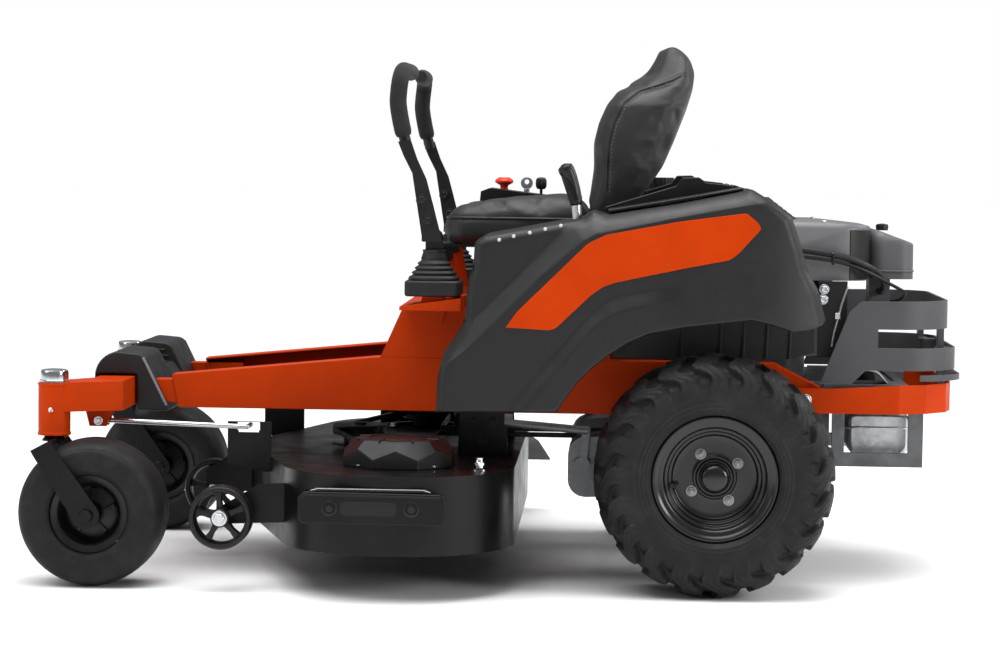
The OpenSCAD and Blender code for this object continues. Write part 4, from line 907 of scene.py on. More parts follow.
def curve_corners(line, radius, n=4):
    """The line with each inner corner cut by a small arc."""
    out = [line[0]]
    for a, b, c in zip(line, line[1:], line[2:]):
        a, b, c = Vector(a), Vector(b), Vector(c)
        d0, d1 = (a - b).length, (c - b).length
        r = min(radius, d0 * 0.45, d1 * 0.45)
        p, q = b + (a - b).normalized() * r, b + (c - b).normalized() * r
        for k in range(n + 1):
            t = k / n
            out.append(tuple((1 - t) ** 2 * p + 2 * t * (1 - t) * b + t * t * q))
    out.append(line[-1])
    return out


def skin_patch(outline, lift, thickness, name, material, side, bevel=1.2, corner=5):
    """A plate that lies on the fender's side and follows it."""
    flat = [Vector(p) for p in curve_corners([*outline, outline[0]], corner)][:-1]
    centre_y = [float(fender_skin(np.array(p.x), np.array(p.y))) for p in flat]
    n = len(flat)
    verts = [(p.x, y + lift, p.y) for p, y in zip(flat, centre_y)]
    verts += [(p.x, y + lift - thickness, p.y) for p, y in zip(flat, centre_y)]
    faces = [list(range(n)), list(range(n, 2 * n))[::-1]]
    faces += [[i, n + i, n + (i + 1) % n, (i + 1) % n] for i in range(n)]
    plate = Shape(side)
    plate.add(verts, faces)
    return plate.piece(name, material, "chassis", bevel=bevel, segments=3)


for side, name in SIDES:
    fender(side, name)
    skin_patch(ORANGE_PANEL, 2.2, 5, "orange_insert_" + name, "orange_paint", side)
    trim = Shape(side)
    trim.prism([(214, 722), (76, 746), (-30, 766), (-32, 775), (20, 780), (34, 790), (66, 789), (78, 773),
                (214, 731)], 268, 300, "xz")
    trim.prism([(208, 722), (76, 745), (-46, 768), (-46, 773), (76, 751), (208, 728)], 300, 446, "xz")
    trim.piece("fender_trim_" + name, "black_plastic", "chassis", bevel=2.0, segments=3)
marks = Shape()
for x, z in ((411, 669), (384, 676), (354, 683), (325, 690), (296, 697)):
    y = float(fender_skin(np.array(x), np.array(z)))
    marks.lathe([(0.3, 2.4), (2.4, 2.0), (3.4, 0.9), (3.7, -1.5)], (x, y, z), "y", 20)
marks.piece("height_marks", "white_print_and_highlight", "chassis")


# ---- seat: a cushion and a back blown up by cloth simulation, then seams, piping and stitches ----

def design(co):
    """Frame metres to design millimetres."""
    return np.array((co[0] * 1000 - OFFSET[0], co[1] * 1000 - OFFSET[1], co[2] * 1000))


def blow_up(obj, voxel, pressure, cap):
    """Remeshes a closed form and lets cloth pressure crown it; no point moves further than the cap."""
    remesh = obj.modifiers.new("remesh", "REMESH")
    remesh.mode = "VOXEL"
    remesh.voxel_size = voxel
    bpy.context.view_layer.update()
    mesh = bpy.data.meshes.new_from_object(obj.evaluated_get(bpy.context.evaluated_depsgraph_get()))
    obj.modifiers.clear()
    obj.data = mesh
    start = np.array([v.co for v in mesh.vertices])
    cloth = obj.modifiers.new("cloth", "CLOTH")
    cloth.settings.quality = 4
    cloth.settings.mass = 0.3
    cloth.settings.tension_stiffness = 12
    cloth.settings.compression_stiffness = 12
    cloth.settings.bending_stiffness = 0.6
    cloth.settings.use_pressure = True
    cloth.settings.uniform_pressure_force = pressure
    cloth.settings.effector_weights.gravity = 0
    cloth.collision_settings.use_collision = False
    cloth.point_cache.frame_start = 1
    cloth.point_cache.frame_end = 20
    scene = bpy.context.scene
    for number in range(1, 21):
        scene.frame_set(number)
    blown = obj.evaluated_get(bpy.context.evaluated_depsgraph_get()).to_mesh()
    moved = np.array([v.co for v in blown.vertices]) - start
    obj.modifiers.clear()
    scene.frame_set(1)
    length = np.linalg.norm(moved, axis=1, keepdims=True)
    moved *= np.minimum(1, cap / np.maximum(length, 1e-9))
    start = start + moved
    mesh.vertices.foreach_set("co", start.ravel())
    mesh.update()
    return obj


def press_seams(mesh, lines, axes, depth, width, facing):
    """Pulls the skin in along lines drawn on a plane, where the skin faces that plane's normal."""
    normals = np.array([v.normal for v in mesh.vertices])
    place = np.array([design(v.co) for v in mesh.vertices])
    u, w = place[:, axes[0]], place[:, axes[1]]
    pull = np.zeros(len(place))
    for line in lines:
        pull = np.maximum(pull, np.exp(-(line_distance(u, w, line) / width) ** 2))
    other = ({0, 1, 2} - set(axes)).pop()
    face = normals[:, other] * facing if facing else np.abs(normals[:, other])
    pull *= np.clip((face - 0.15) / 0.35, 0, 1)
    moved = np.array([v.co for v in mesh.vertices]) - normals * (pull * depth / 1000)[:, None]
    mesh.vertices.foreach_set("co", moved.ravel())
    mesh.update()


def on_skin(tree, line, axis, sign, lift=0.0):
    """Points where rays along an axis, from outside, meet the skin below a drawn line."""
    out = []
    other = [i for i in range(3) if i != axis]
    for a, b in line:
        start = [0.0, 0.0, 0.0]
        start[other[0]], start[other[1]], start[axis] = a, b, 1500 * sign
        ray = [0.0, 0.0, 0.0]
        ray[axis] = -sign
        hit = tree.ray_cast(P(*start), Vector(ray), 3)
        if hit[0] is not None:
            out.append(design(hit[0] + hit[1] * lift / 1000))
    return out


def stitches(shape, path, every=7.5, length=4.6, r=0.8):
    """Short round stitches along a path."""
    gone = 0.0
    next_at = every / 2
    for a, b in zip(path, path[1:]):
        step = np.linalg.norm(b - a)
        while step > 0 and next_at <= gone + step:
            t = (next_at - gone) / step
            middle = a + (b - a) * t
            d = (b - a) / step
            shape.tube([middle - d * length / 2, middle - d * length / 4, middle + d * length / 4,
                        middle + d * length / 2], [r * 0.4, r, r, r * 0.4], 6)
            next_at += every
        gone += step


def pad_block(x_range, half_y, corner, top, bottom, r_top, r_bottom):
    """A closed pad seen in plan as a rounded rectangle, with rounded upper and lower edges."""
    nx, ny = 60, 90
    verts, faces = [], []
    x0, x1 = x_range
    rows = []
    for i in range(nx + 1):
        for j in range(ny + 1):
            x = x0 + (x1 - x0) * i / nx
            y = -half_y + 2 * half_y * j / ny
            cx = min(max(x, x0 + corner), x1 - corner)
            cy = min(max(y, -half_y + corner), half_y - corner)
            away = hypot(x - cx, y - cy)
            if away > corner:
                x, y = cx + (x - cx) * corner / away, cy + (y - cy) * corner / away
                away = corner
            edge = corner - away if away > 0 else min(x - x0, x1 - x, y + half_y, half_y - y)
            rows.append((x, y, max(edge, 0)))
    for x, y, edge in rows:
        drop = r_top - np.sqrt(r_top ** 2 - (r_top - min(edge, r_top)) ** 2)
        verts.append((x, y, top(x, y) - drop))
    for x, y, edge in rows:
        drop = r_bottom - np.sqrt(r_bottom ** 2 - (r_bottom - min(edge, r_bottom)) ** 2)
        verts.append((x, y, bottom(x, y) + drop))
    m = ny + 1
    half = len(rows)
    for i in range(nx):
        for j in range(ny):
            a = i * m + j
            faces.append([a, a + m, a + m + 1, a + 1])
            faces.append([half + a, half + a + 1, half + a + m + 1, half + a + m])
    border = list(range(m)) + [i * m + ny for i in range(1, nx + 1)]
    border += [nx * m + j for j in range(ny - 1, -1, -1)] + [i * m for i in range(nx - 1, 0, -1)]
    for a, b in zip(border, border[1:] + border[:1]):
        faces.append([a, b, half + b, half + a])
    return verts, faces


def finish_pad(obj, body):
    smooth = obj.modifiers.new("relax", "SMOOTH")
    smooth.iterations = 4
    fine = obj.modifiers.new("subdivide", "SUBSURF")
    fine.levels = fine.render_levels = 1
    for polygon in obj.data.polygons:
        polygon.use_smooth = True
    obj.data.materials.clear()
    obj.data.materials.append(MATERIALS["seat_vinyl"])
    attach(obj, body)


def seat_cushion():
    """The cushion, with sewn channels on top, and piping where rays from around meet its side."""
    def top(x, y):
        side = abs(y) / 232
        profile = np.interp(x, [240, 300, 400, 470, 545], [733, 738, 730, 722, 712])
        return profile + 9 * np.clip((side - 0.45) / 0.4, 0, 1) ** 1.5 - 4

    verts, faces = pad_block((240, 539), 230, 52, top, lambda x, y: 657, 34, 16)
    obj = blow_up(Shape().add(verts, faces).loose("seat_cushion_pad"), 0.0055, 4, 0.009)
    channel = [[(268, 118), (470, 118)], [(268, -118), (470, -118)], [(472, -196), (472, 196)],
               [(340, -117), (340, 117)], [(405, -117), (405, 117)]]
    press_seams(obj.data, channel, (0, 1), 4.0, 5.5, 1)
    welt = [[(230, 706), (560, 702)]]
    press_seams(obj.data, welt, (0, 2), 3.0, 4.0, 0)
    finish_pad(obj, "seat")
    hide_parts("seat_cushion")
    bpy.context.view_layer.update()
    tree = BVHTree.FromObject(obj, bpy.context.evaluated_depsgraph_get())
    thread = Shape()
    for line in channel:
        path = resample(line, 4)
        for shift in (-4.5, 4.5):
            along_x = abs(line[0][0] - line[1][0]) > 5
            moved = [(a, b + shift) if along_x else (a + shift, b) for a, b in path]
            stitches(thread, on_skin(tree, moved, 2, 1, 0.2))
    thread.piece("cushion_stitches", "thread", "seat")
    piping = Shape()
    loop = []
    for k in range(140):
        a = 2 * pi * k / 140
        origin = P(392, 0, 704)
        ray = Vector((cos(a), sin(a), 0))
        far = origin + ray * 0.6
        hit = tree.ray_cast(far, -ray, 0.6)
        if hit[0] is not None:
            loop.append(design(hit[0] + hit[1] * 0.0006))
    loop.append(loop[0])
    piping.tube(loop, 2.6, 10, cap=False)
    piping.piece("cushion_piping", "seat_trim", "seat")


SEAT_FRONT = [(256, 712), (240, 748), (233, 803), (235, 850), (226, 890), (211, 925), (191, 951), (165, 970),
              (129, 994), (113, 1020), (103, 1045), (94, 1054)]
SEAT_REAR = [(176, 714), (148, 756), (127, 785), (109, 812), (87, 864), (64, 925), (52, 965), (45, 1008),
             (48, 1027), (56, 1038), (66, 1047), (80, 1055)]
SEAT_SEAM = [(214, 760), (212, 800), (211, 850), (202, 891), (183, 932), (152, 957), (114, 969), (87, 979),
             (71, 988)]


def seat_back():
    """The high back: rounded sections from its front line to its rear line, hollowed in front."""
    rows, m = 64, 160
    at = np.linspace(0, 1, len(SEAT_FRONT))
    front = np.array(SEAT_FRONT, float)
    rear = np.array(SEAT_REAR, float)
    verts = []
    for i in range(rows + 1):
        t = i / rows
        f = np.array([np.interp(t, at, front[:, k]) for k in range(2)])
        r = np.array([np.interp(t, at, rear[:, k]) for k in range(2)])
        z = (f[1] + r[1]) / 2
        half = np.interp(z, [712, 765, 810, 870, 930, 965, 1000, 1030, 1054],
                         [202, 221, 229, 228, 223, 202, 169, 147, 115])
        middle, reach = (f + r) / 2, (f - r) / 2
        for j in range(m):
            a = 2 * pi * j / m
            c, s = cos(a), sin(a)
            across = np.sign(s) * abs(s) ** 0.5
            along = np.sign(c) * abs(c) ** 0.30
            scoop = 0.0
            if c > 0:
                scoop = 0.42 * max(0.0, 1 - (abs(across) / 0.62) ** 2) * min(1, t * 6) * min(1, (1 - t) * 3)
            p = middle + reach * (along - scoop)
            verts.append((p[0], across * half, p[1]))
    faces = stacked_faces(rows + 1, m)
    faces.append(list(range(m))[::-1])
    faces.append([rows * m + j for j in range(m)])
    obj = blow_up(Shape().add(verts, faces).loose("seat_back_pad"), 0.0055, 4, 0.008)
    press_seams(obj.data, [SEAT_SEAM], (0, 2), 3.2, 4.5, 0)
    channel = [[(118, 775), (118, 955)], [(-118, 775), (-118, 955)], [(-196, 968), (196, 968)],
               [(-117, 835), (117, 835)], [(-117, 900), (117, 900)]]
    press_seams(obj.data, channel, (1, 2), 4.0, 5.5, 1)
    finish_pad(obj, "seat")
    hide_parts("seat_back")
    bpy.context.view_layer.update()
    tree = BVHTree.FromObject(obj, bpy.context.evaluated_depsgraph_get())
    thread, piping = Shape(), Shape()
    for line in channel:
        upright = abs(line[0][1] - line[1][1]) > 5
        for shift in (-4.5, 4.5):
            moved = [(a + shift, b) if upright else (a, b + shift) for a, b in resample(line, 4)]
            stitches(thread, on_skin(tree, moved, 0, 1, 0.2))
    for sign in (1, -1):
        path = on_skin(tree, resample(SEAT_SEAM, 5), 1, sign, 0.6)
        if len(path) > 3:
            piping.tube(path, 2.3, 10)
        inner = [(a - 7, b - 3) for a, b in resample(SEAT_SEAM, 5)]
        stitches(thread, on_skin(tree, inner, 1, sign, 0.2))
    thread.piece("back_stitches", "thread", "seat")
    piping.piece("back_piping", "seat_trim", "seat")


seat_cushion()
seat_back()


# ---- levers, boots and controls ----

GRIP_PATH = [(602, 340, 862), (609, 340, 893), (614, 340, 925), (613, 340, 948)] + [
    (612 - 6 * a / 90, 340 - 42 * (1 - cos(radians(a))), 958 + 30 * sin(radians(a))) for a in range(0, 91, 15)] + [
    (604, 232.5, 988), (602, 125, 988)]


def lever_grip(side, name):
    """The foam sleeve on its bent tube, and the bolts between the lever's arm and base."""
    grip = Shape(side)
    path = curve_through(GRIP_PATH, 5)
    radii = [16.5] * len(path)
    radii[0], radii[1] = 13.6, 16.0
    for k, r in ((1, 11.5), (2, 14.8), (3, 16.2)):
        radii[-k] = r
    grip.tube(path, radii, 28)
    grip.piece("foam_grip_" + name, "foam_grip", "lever_" + name, smooth=60, replaces="lever_grip_" + name)
    rod = Shape(side)
    rod.tube([(596, 340, 840), (602.4, 340, 864)], 11, 24)
    rod.lathe([(9.8, -3), (11.6, -2.4), (11.6, 0.5), (9.8, 1)], (603, 340, 865), "z", 24)
    rod.piece("grip_tube_" + name, "satin_black", "lever_" + name)
    bolts = Shape(side)
    for z in (700, 740):
        bolts.bolt((541 + (z - 660) * 0.3, 360.5, z), (0, 1, 0), 8.5, 5.5)
        bolts.bolt((541 + (z - 660) * 0.3, 351.5, z), (0, -1, 0), 8.5, 6.5)
    bolts.piece("lever_bolts_" + name, "dark_metal", "lever_" + name, bevel=0.4)


def lever_boot(side, name):
    """A pleated boot, square at its flange and round at its collar."""
    boot = Shape(side)
    profile = [(47, 0), (49.5, 1.5), (49.5, 4)]
    z = 4
    for k in range(4):
        r_out, r_in = 48.5 - 5.6 * k, 41 - 5.2 * k
        profile += [(r_out, z), (r_out + 0.4, z + 1.6), (r_out - 0.8, z + 3.0), (r_in, z + 6.6),
                    (r_in - 0.2, z + 8.0)]
        z += 9
    profile += [(25.4, z + 1), (24.6, z + 5), (21.5, z + 14), (22.6, z + 15.5), (22.8, z + 18), (20.6, z + 19)]
    n = 64
    verts = []
    for k in range(n):
        a = 2 * pi * k / n
        square = 1 / max(abs(cos(a)), abs(sin(a))) ** 0.55
        for r, t in profile:
            blend = np.clip(1 - t / 42, 0, 1)
            grow = 1 + (square - 1) * blend
            verts.append((541 + r * grow * cos(a), 340 + r * grow * sin(a), 586 + t))
    boot.add(verts, turned_faces(n, len(profile)))
    obj = boot.piece("lever_boot_" + name, "boot_rubber", None, smooth=70, ride=False, replaces="lever_boots")
    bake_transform(obj)
    base = Shape(side)
    base.prism(curve_corners([(487, 340), (487, 392), (595, 392), (595, 282), (487, 282), (487, 340)], 12)[:-1],
               556, 586.4, "xy")
    base.piece("boot_flange_" + name, "boot_rubber", "chassis", bevel=5, segments=4)
    return obj


def controls():
    """The blade knob, the throttle's knob, and the lift lever's grip and shank."""
    knob = Shape()
    knob.lathe([(0.3, 50), (9, 49.4), (16.5, 47), (19.5, 43.4), (20, 40.6), (18.8, 38), (13, 35.4), (9.6, 33.5),
                (8.4, 30), (8.2, 26), (10.2, 23.6), (10.2, 19)], (437, -370, 730), "z", 48)
    knob.piece("pto_mushroom", "red_plastic", "pto", smooth=60)
    ribbed = Shape()
    n = 72
    profile = [(4.6, -13), (8.5, -12), (11.3, -8), (12.2, 0), (11.3, 8), (8.2, 12), (0.3, 13.4)]
    verts = []
    for k in range(n):
        a = 2 * pi * k / n
        for i, (r, t) in enumerate(profile):
            swell = 0.9 + 0.1 * (0.5 + 0.5 * cos(18 * a)) if 1 <= i <= 5 else 1
            verts.append((357 + r * swell * cos(a), -370 + r * swell * sin(a), 768 + t))
    ribbed.add(verts, turned_faces(n, len(profile)))
    ribbed.piece("throttle_knob", "black_plastic", "throttle", smooth=50)
    handle = Shape()
    path = curve_through([(268, 414, 735), (270, 414, 748), (275, 414, 770), (282, 414, 790), (289, 414, 803),
                        (293, 414, 811)], 5)
    count = len(path)
    radii = [float(np.interp(k / (count - 1), [0, 0.04, 0.1, 0.45, 0.75, 0.9, 0.97, 1],
                             [9.5, 11.4, 12, 12.6, 15.2, 14.4, 10, 4])) for k in range(count)]
    handle.tube(path, radii, 28)
    handle.piece("lift_grip", "black_plastic", "lift", smooth=60)
    sleeve = Shape()
    sleeve.tube([(262, 414, 690), (266, 414, 707), (268.3, 414, 736)], 9.4, 24)
    sleeve.piece("lift_shank", "bare_steel", "lift", smooth=60)


for side, name in SIDES:
    lever_grip(side, name)
    lever_boot(side, name)
controls()


# ---- engine covers, hoses, exhaust ----

def rounded_plan(corners, steps, spacing=None):
    """A closed outline of corner arcs (x, y, radius, start, end), with points along its sides if spaced."""
    out = []
    for cx, cy, r, a0, a1 in corners:
        arc = [(cx + r * cos(radians(a0 + (a1 - a0) * k / steps)), cy + r * sin(radians(a0 + (a1 - a0) * k / steps)))
               for k in range(steps + 1)]
        if out and spacing:
            out += points_between(out[-1], arc[0], spacing)
        out += arc
    if spacing:
        out += points_between(out[-1], out[0], spacing)
    return out


def points_between(a, b, spacing):
    n = max(2, int(hypot(a[0] - b[0], a[1] - b[1]) / spacing))
    return [(a[0] + (b[0] - a[0]) * k / n, a[1] + (b[1] - a[1]) * k / n) for k in range(1, n)]


def blower_cover():
    """The moulded fan housing: a loft of plan outlines with a raised shoulder on each side and a round inlet."""
    def plan(grow):
        return rounded_plan(((-10, 130, 60 - grow, 0, 90), (-240, 120, 70 - grow, 90, 180),
                             (-240, -120, 70 - grow, 180, 270), (-10, -130, 60 - grow, 270, 360)), 12, 10)

    levels = [590] + list(np.linspace(596, 690, 22)) + [693, 696, 699, 702, 704.5, 706.3, 707]
    crease = [(-20, 636), (-110, 641), (-170, 658), (-262, 690), (-300, 696)]
    verts = []
    roll = 14
    for z in levels:
        grow = 0.0 if z < 693 else roll - np.sqrt(max(0, roll ** 2 - (z - 693) ** 2))
        for x, y in plan(grow):
            line = np.interp(-x, [-c[0] for c in crease], [c[1] for c in crease])
            above = max(0.0, z - line)
            side = np.clip((abs(y) - 120) / 60, 0, 1)
            y -= np.sign(y) * side * min(above * 0.30, 15)
            if x < -205:
                top = 707 - (x + 205) * 10 / -103
                z_here = min(z, top)
            else:
                z_here = z
            verts.append((x, y, z_here))
    m = len(plan(0))
    cover = Shape()
    cover.add(verts, stacked_faces(len(levels), m))
    last = (len(levels) - 1) * m
    rows = [last]
    for r, z in ((103, 706.6), (100.5, 705), (100, 700), (100, 676)):
        rows.append(len(cover.v))
        for j in range(m):
            x, y, _ = verts[last + j]
            a = np.arctan2(y, x + 75)
            cover.v.append((-75 + r * cos(a), r * sin(a), z))
    for a, b in zip(rows, rows[1:]):
        for j in range(m):
            cover.f.append([a + j, a + (j + 1) % m, b + (j + 1) % m, b + j])
    obj = cover.piece("fan_housing", "cover_plastic", "chassis", smooth=28, replaces="blower_housing")
    band = Shape()
    outer = [p for p in plan(-1.2) if p[0] < -262]
    outer.sort(key=lambda p: np.arctan2(p[1], -(p[0] + 240)))
    inner = [(x + 4, y * 0.985) for x, y in outer]
    band.prism(outer + inner[::-1], 592, 690, "xy")
    band.piece("rear_seal_band", "satin_black", "chassis", bevel=1.5)
    screws = Shape()
    for x, y in ((25, 120), (25, -120), (-215, 165), (-215, -165)):
        screws.bolt((x, y, 706 if x > 0 else 703), (0, 0, 1), 6, 4)
    screws.piece("housing_screws", "bare_steel", "chassis", bevel=0.4)
    return obj


def air_filter_cover():
    """A cover with a rolled top edge that falls to the rear, its lip and its knob."""
    body = Shape()
    plan = rounded_plan(((-340, 92, 30, 0, 90), (-370, 92, 30, 90, 180), (-370, -92, 30, 180, 270),
                         (-340, -92, 30, 270, 360)), 8)
    cx = -352
    levels = [(592, 0.0), (600, 0), (640, 0.4), (660, 0.8), (668, 2.0), (676, 4.5), (683, 9), (688, 15), (690, 22)]
    verts = []
    m = len(plan)
    for z, shrink in levels:
        for x, y in plan:
            top = 690 - (-318 - x) * 0.30 if x < -318 else 690
            k = 1 - shrink / max(hypot(x - cx, y), 1)
            verts.append((cx + (x - cx) * k, y * k, min(z, top - (690 - z) * 0.2 if z > 660 else z)))
    faces = stacked_faces(len(levels), m)
    faces.append([(len(levels) - 1) * m + j for j in range(m)])
    faces.append(list(range(m))[::-1])
    body.add(verts, faces)
    body.box((-360, -36, 520), (-318, 36, 594))
    body.piece("air_filter_cover", "cover_light", "chassis", smooth=40, replaces="air_cleaner")
    lip = Shape()
    ridge = [(x + (x - cx) * 0.03, y * 1.025) for x, y in plan]
    lip.prism(ridge, 606, 610, "xy")
    lip.piece("filter_cover_lip", "cover_light", "chassis", bevel=1.2)
    knob = Shape()
    knob.lathe([(12, -2), (13, 6), (11.5, 10), (4, 11.5), (0.3, 11.8)], (-345, 0, 688), "z", 28)
    knob.piece("filter_cover_knob", "black_plastic", "chassis", smooth=50)


HOSE = [(-70, 198, 652), (-110, 206, 653), (-150, 211, 652), (-190, 213, 648), (-230, 212, 642), (-262, 204, 635),
        (-290, 192, 624), (-314, 174, 612), (-332, 150, 598), (-340, 128, 584), (-340, 108, 572), (-340, 84, 566),
        (-340, 60, 564), (-340, 37, 564)]
CABLE = [(-80, 200, 638), (-120, 208, 640), (-160, 212, 638), (-200, 213, 634), (-240, 210, 628), (-275, 202, 619),
         (-310, 190, 604), (-345, 172, 586), (-372, 148, 572), (-384, 118, 564), (-384, 84, 556), (-379, 56, 548),
         (-371, 36, 544), (-364.5, 16, 543)]


def engine_lines():
    """The engine's hose and cable with their clamps, the linkage rod and two side bolts."""
    hose = Shape()
    hose.tube(curve_through(HOSE, 6), 6.6, 20)
    hose.piece("engine_hose", "hose_rubber", "chassis", smooth=60, replaces="fuel_line")
    cable = Shape()
    cable.tube(curve_through(CABLE, 6), 3.4, 14)
    cable.piece("throttle_cable", "hose_rubber", "chassis", smooth=60)
    tie = Shape()
    for x, z in ((-232, 641), (-118, 652)):
        tie.lathe([(7.6, -3), (8.2, -2.2), (8.2, 2.2), (7.6, 3)], (x, 212 if x < -200 else 207, z), "x", 24)
    tie.box((-235, 208, 622), (-229, 216, 650))
    tie.piece("hose_clamps", "black_plastic", "chassis", bevel=0.8)
    rod = Shape()
    rod.tube([(-262, 208, 580), (-250, 212, 545), (-236, 214, 490), (-232, 214, 462)], 2.6, 10)
    rod.box((-248, 209, 516), (-238, 218, 528))
    rod.piece("linkage_rod", "bare_steel", "chassis", bevel=0.6)
    side = Shape()
    for x, z in ((-216, 574), (-214, 554)):
        side.bolt((x, 214, z), (0, 1, 0), 7.5, 6)
    side.piece("engine_side_bolts", "bare_steel", "chassis", bevel=0.6)


def exhaust():
    """The muffler can with its seam, outlet, two pipes and the arched heat shield."""
    can = Shape()
    section = []
    for cx, cz, r, a0, a1 in ((-378, 312, 16, 90, 180), (-366, 266, 28, 180, 270), (-300, 266, 28, 270, 360),
                              (-288, 312, 16, 0, 90)):
        section += [(cx + r * cos(radians(a)), cz + r * sin(radians(a))) for a in np.linspace(a0, a1, 9)]
    can.prism(section, -150, 150, "xz")
    can.piece("muffler_can", "heat_shield", "chassis", bevel=9, segments=4, smooth=50, replaces="muffler")
    rim = Shape()
    seam = [(-333, 154), (-399, 154), (-399, -154), (-267, -154), (-267, 154), (-333, 154)]
    rim.prism(curve_corners(seam, 24, 6)[:-1], 295.5, 300, "xy")
    rim.piece("muffler_seam", "heat_shield", "chassis", bevel=1.5)
    outlet = Shape()
    outlet.lathe([(20, 30), (20, 2), (21, 0), (24, 0), (25, 2), (25, 30)], (-340, 60, 222), "z", 40, closed=True)
    outlet.piece("muffler_outlet", "dark_metal", "chassis", smooth=50)
    pipes = Shape()
    for y in (70, -70):
        pipes.tube([(-320, y, 322), (-320, y, 344), (-318, y, 372), (-314, y, 404)], 15, 24)
        pipes.lathe([(15, 0), (22, 0), (22, 5), (15, 5)], (-320, y, 328), "z", 32, closed=True)
    pipes.piece("exhaust_pipes", "dark_metal", "chassis", smooth=50)
    shield = Shape()
    arch = curve_corners([(-258, 394), (-266, 416), (-300, 422), (-322, 418), (-342, 394)], 14, 5)
    inner = [(x + (-300 - x) * 0.05, max(z - 3, 394)) for x, z in arch]
    shield.prism(arch + inner[::-1], 150, 250, "xz")
    shield.piece("heat_shield_arch", "heat_shield", "chassis", smooth=50)


def dark_panels():
    """Sheet panels that close the wheel wells and screen the engine's flanks."""
    for side, name in SIDES:
        well = Shape(side)
        well.prism([(-196, 452), (-196, 534), (-150, 556), (40, 556), (150, 520), (196, 470), (196, 436), (40, 434),
                    (-120, 434)], 259, 262.5, "xz")
        for x in (-150, -105, -60, -15, 60):
            well.prism([(x, 440), (x + 5, 440), (x + 1, 545), (x - 3, 545)], 262, 266, "xz")
        well.piece("wheel_well_panel_" + name, "recess_plastic", "chassis", bevel=1.0)
        screen = Shape(side)
        screen.prism([(-205, 590), (-205, 440), (-245, 440), (-262, 500), (-262, 590)], 205, 208, "xz")
        screen.piece("engine_screen_" + name, "black_plastic", "chassis", bevel=1.0)


dark_panels()
blower_cover()
air_filter_cover()
engine_lines()
exhaust()


# ---- front: footrest, caster caps and axle details ----

def footrest_hump(side, name):
    """One moulded foot hump, a light grey strip painted along its slanted edge as a highlight, and the ribs on its
    inner side.
    """
    outer = [(1062, 319)]
    outer += [(1130 + 22.5 * cos(radians(a)), 408 + 22.5 * sin(radians(a))) for a in np.linspace(154, 90, 10)]
    outer += [(1160 + 50 * cos(radians(a)), 384 + 50 * sin(radians(a))) for a in np.linspace(82, 8, 14)]
    outer += [(1212, 319), (1204, 319), (1204, 390), (1127, 390), (1127, 319)]
    hump = Shape(side)
    hump.prism(outer, 72, 272, "xz")
    hump.piece("footrest_hump_" + name, "dark_plastic", "chassis", bevel=9, segments=5, angle=50, smooth=50,
               replaces="footrest")
    # a light grey strip along the hump's slanted edge: a painted highlight
    edge = Shape(side)
    edge.prism([(1066, 330), (1113, 424), (1117, 422), (1070, 328)], 266, 274.5, "xz")
    edge.piece("footrest_painted_highlight_" + name, "painted_highlight_grey", "chassis", bevel=1.2)
    pad = Shape(side)
    for k in range(7):
        x = 1080 + k * 7
        z = 338 + k * 12.5
        pad.prism([(x + 2, z), (x + 50 - k * 2, z + 2), (x + 49 - k * 2, z + 6), (x + 4, z + 4)], 68.5, 73, "xz")
    pad.piece("footrest_ribs_" + name, "recess_plastic", "chassis", bevel=1.2)


def footrest_bridge():
    """The plate between the humps, and the raised tread on the floor."""
    plate = Shape()
    plate.prism([(1072, 344), (1120, 344), (1120, 392), (1106, 392)], -73, 73, "xz")
    plate.piece("footrest_bridge", "dark_plastic", "chassis", bevel=3, segments=3)
    tread = Shape()
    for k in range(9):
        for y0 in range(-180, 180, 40):
            x = 690 + k * 40
            tread.prism([(x, y0 + 4), (x + 22, y0 + 22), (x + 20, y0 + 26), (x - 2, y0 + 8)], 340.6, 342.2, "xy")
    tread.piece("floor_tread", "recess_plastic", "chassis", bevel=0.5)


def caster_caps(side, name):
    """What the swivel tube and the fork carry: cap, tube lips, grease fitting and axle spacers."""
    tube_x, tube_y = CASTER_TUBE
    wheel_x, wheel_y, wheel_z = CASTER_AXLE
    cap = Shape(side)
    cap.lathe([(0.3, 26), (14, 25.8), (21, 25.2), (25, 23.6), (26.6, 20.5), (26.8, 6), (28.4, 5), (28.6, 1.5),
               (27.2, 0.2), (0.3, 0.1)], (tube_x, tube_y, 384), "z", 48)
    cap.piece("caster_cap_" + name, "chrome", "chassis", smooth=40)
    rings = Shape(side)
    rings.lathe([(30.6, 0), (31.8, 1), (31.8, 5), (30.6, 6)], (tube_x, tube_y, 284), "z", 48)
    rings.lathe([(30.6, 0), (31.6, 1), (31.6, 4), (30.6, 5)], (tube_x, tube_y, 379), "z", 48)
    rings.piece("caster_tube_lips_" + name, "orange_paint", "chassis", smooth=40)
    fitting = Shape(side)
    fitting.lathe([(0.3, 12), (2.4, 11), (3.0, 9), (2.2, 7.5), (4.6, 6), (4.6, 0)],
                  (tube_x, tube_y + 31, 334), "y", 16)
    fitting.piece("grease_fitting_" + name, "bare_steel", "chassis", smooth=50)
    spacer = Shape(side)
    for s in (1, -1):
        spacer.lathe([(8.3, 0), (13, 0), (13, 6 * s), (8.3, 6 * s)], (wheel_x, wheel_y + 80 * s, wheel_z), "y",
                     32, closed=True)
    spacer.piece("axle_spacers_" + name, "bare_steel", "caster_" + name, smooth=40)


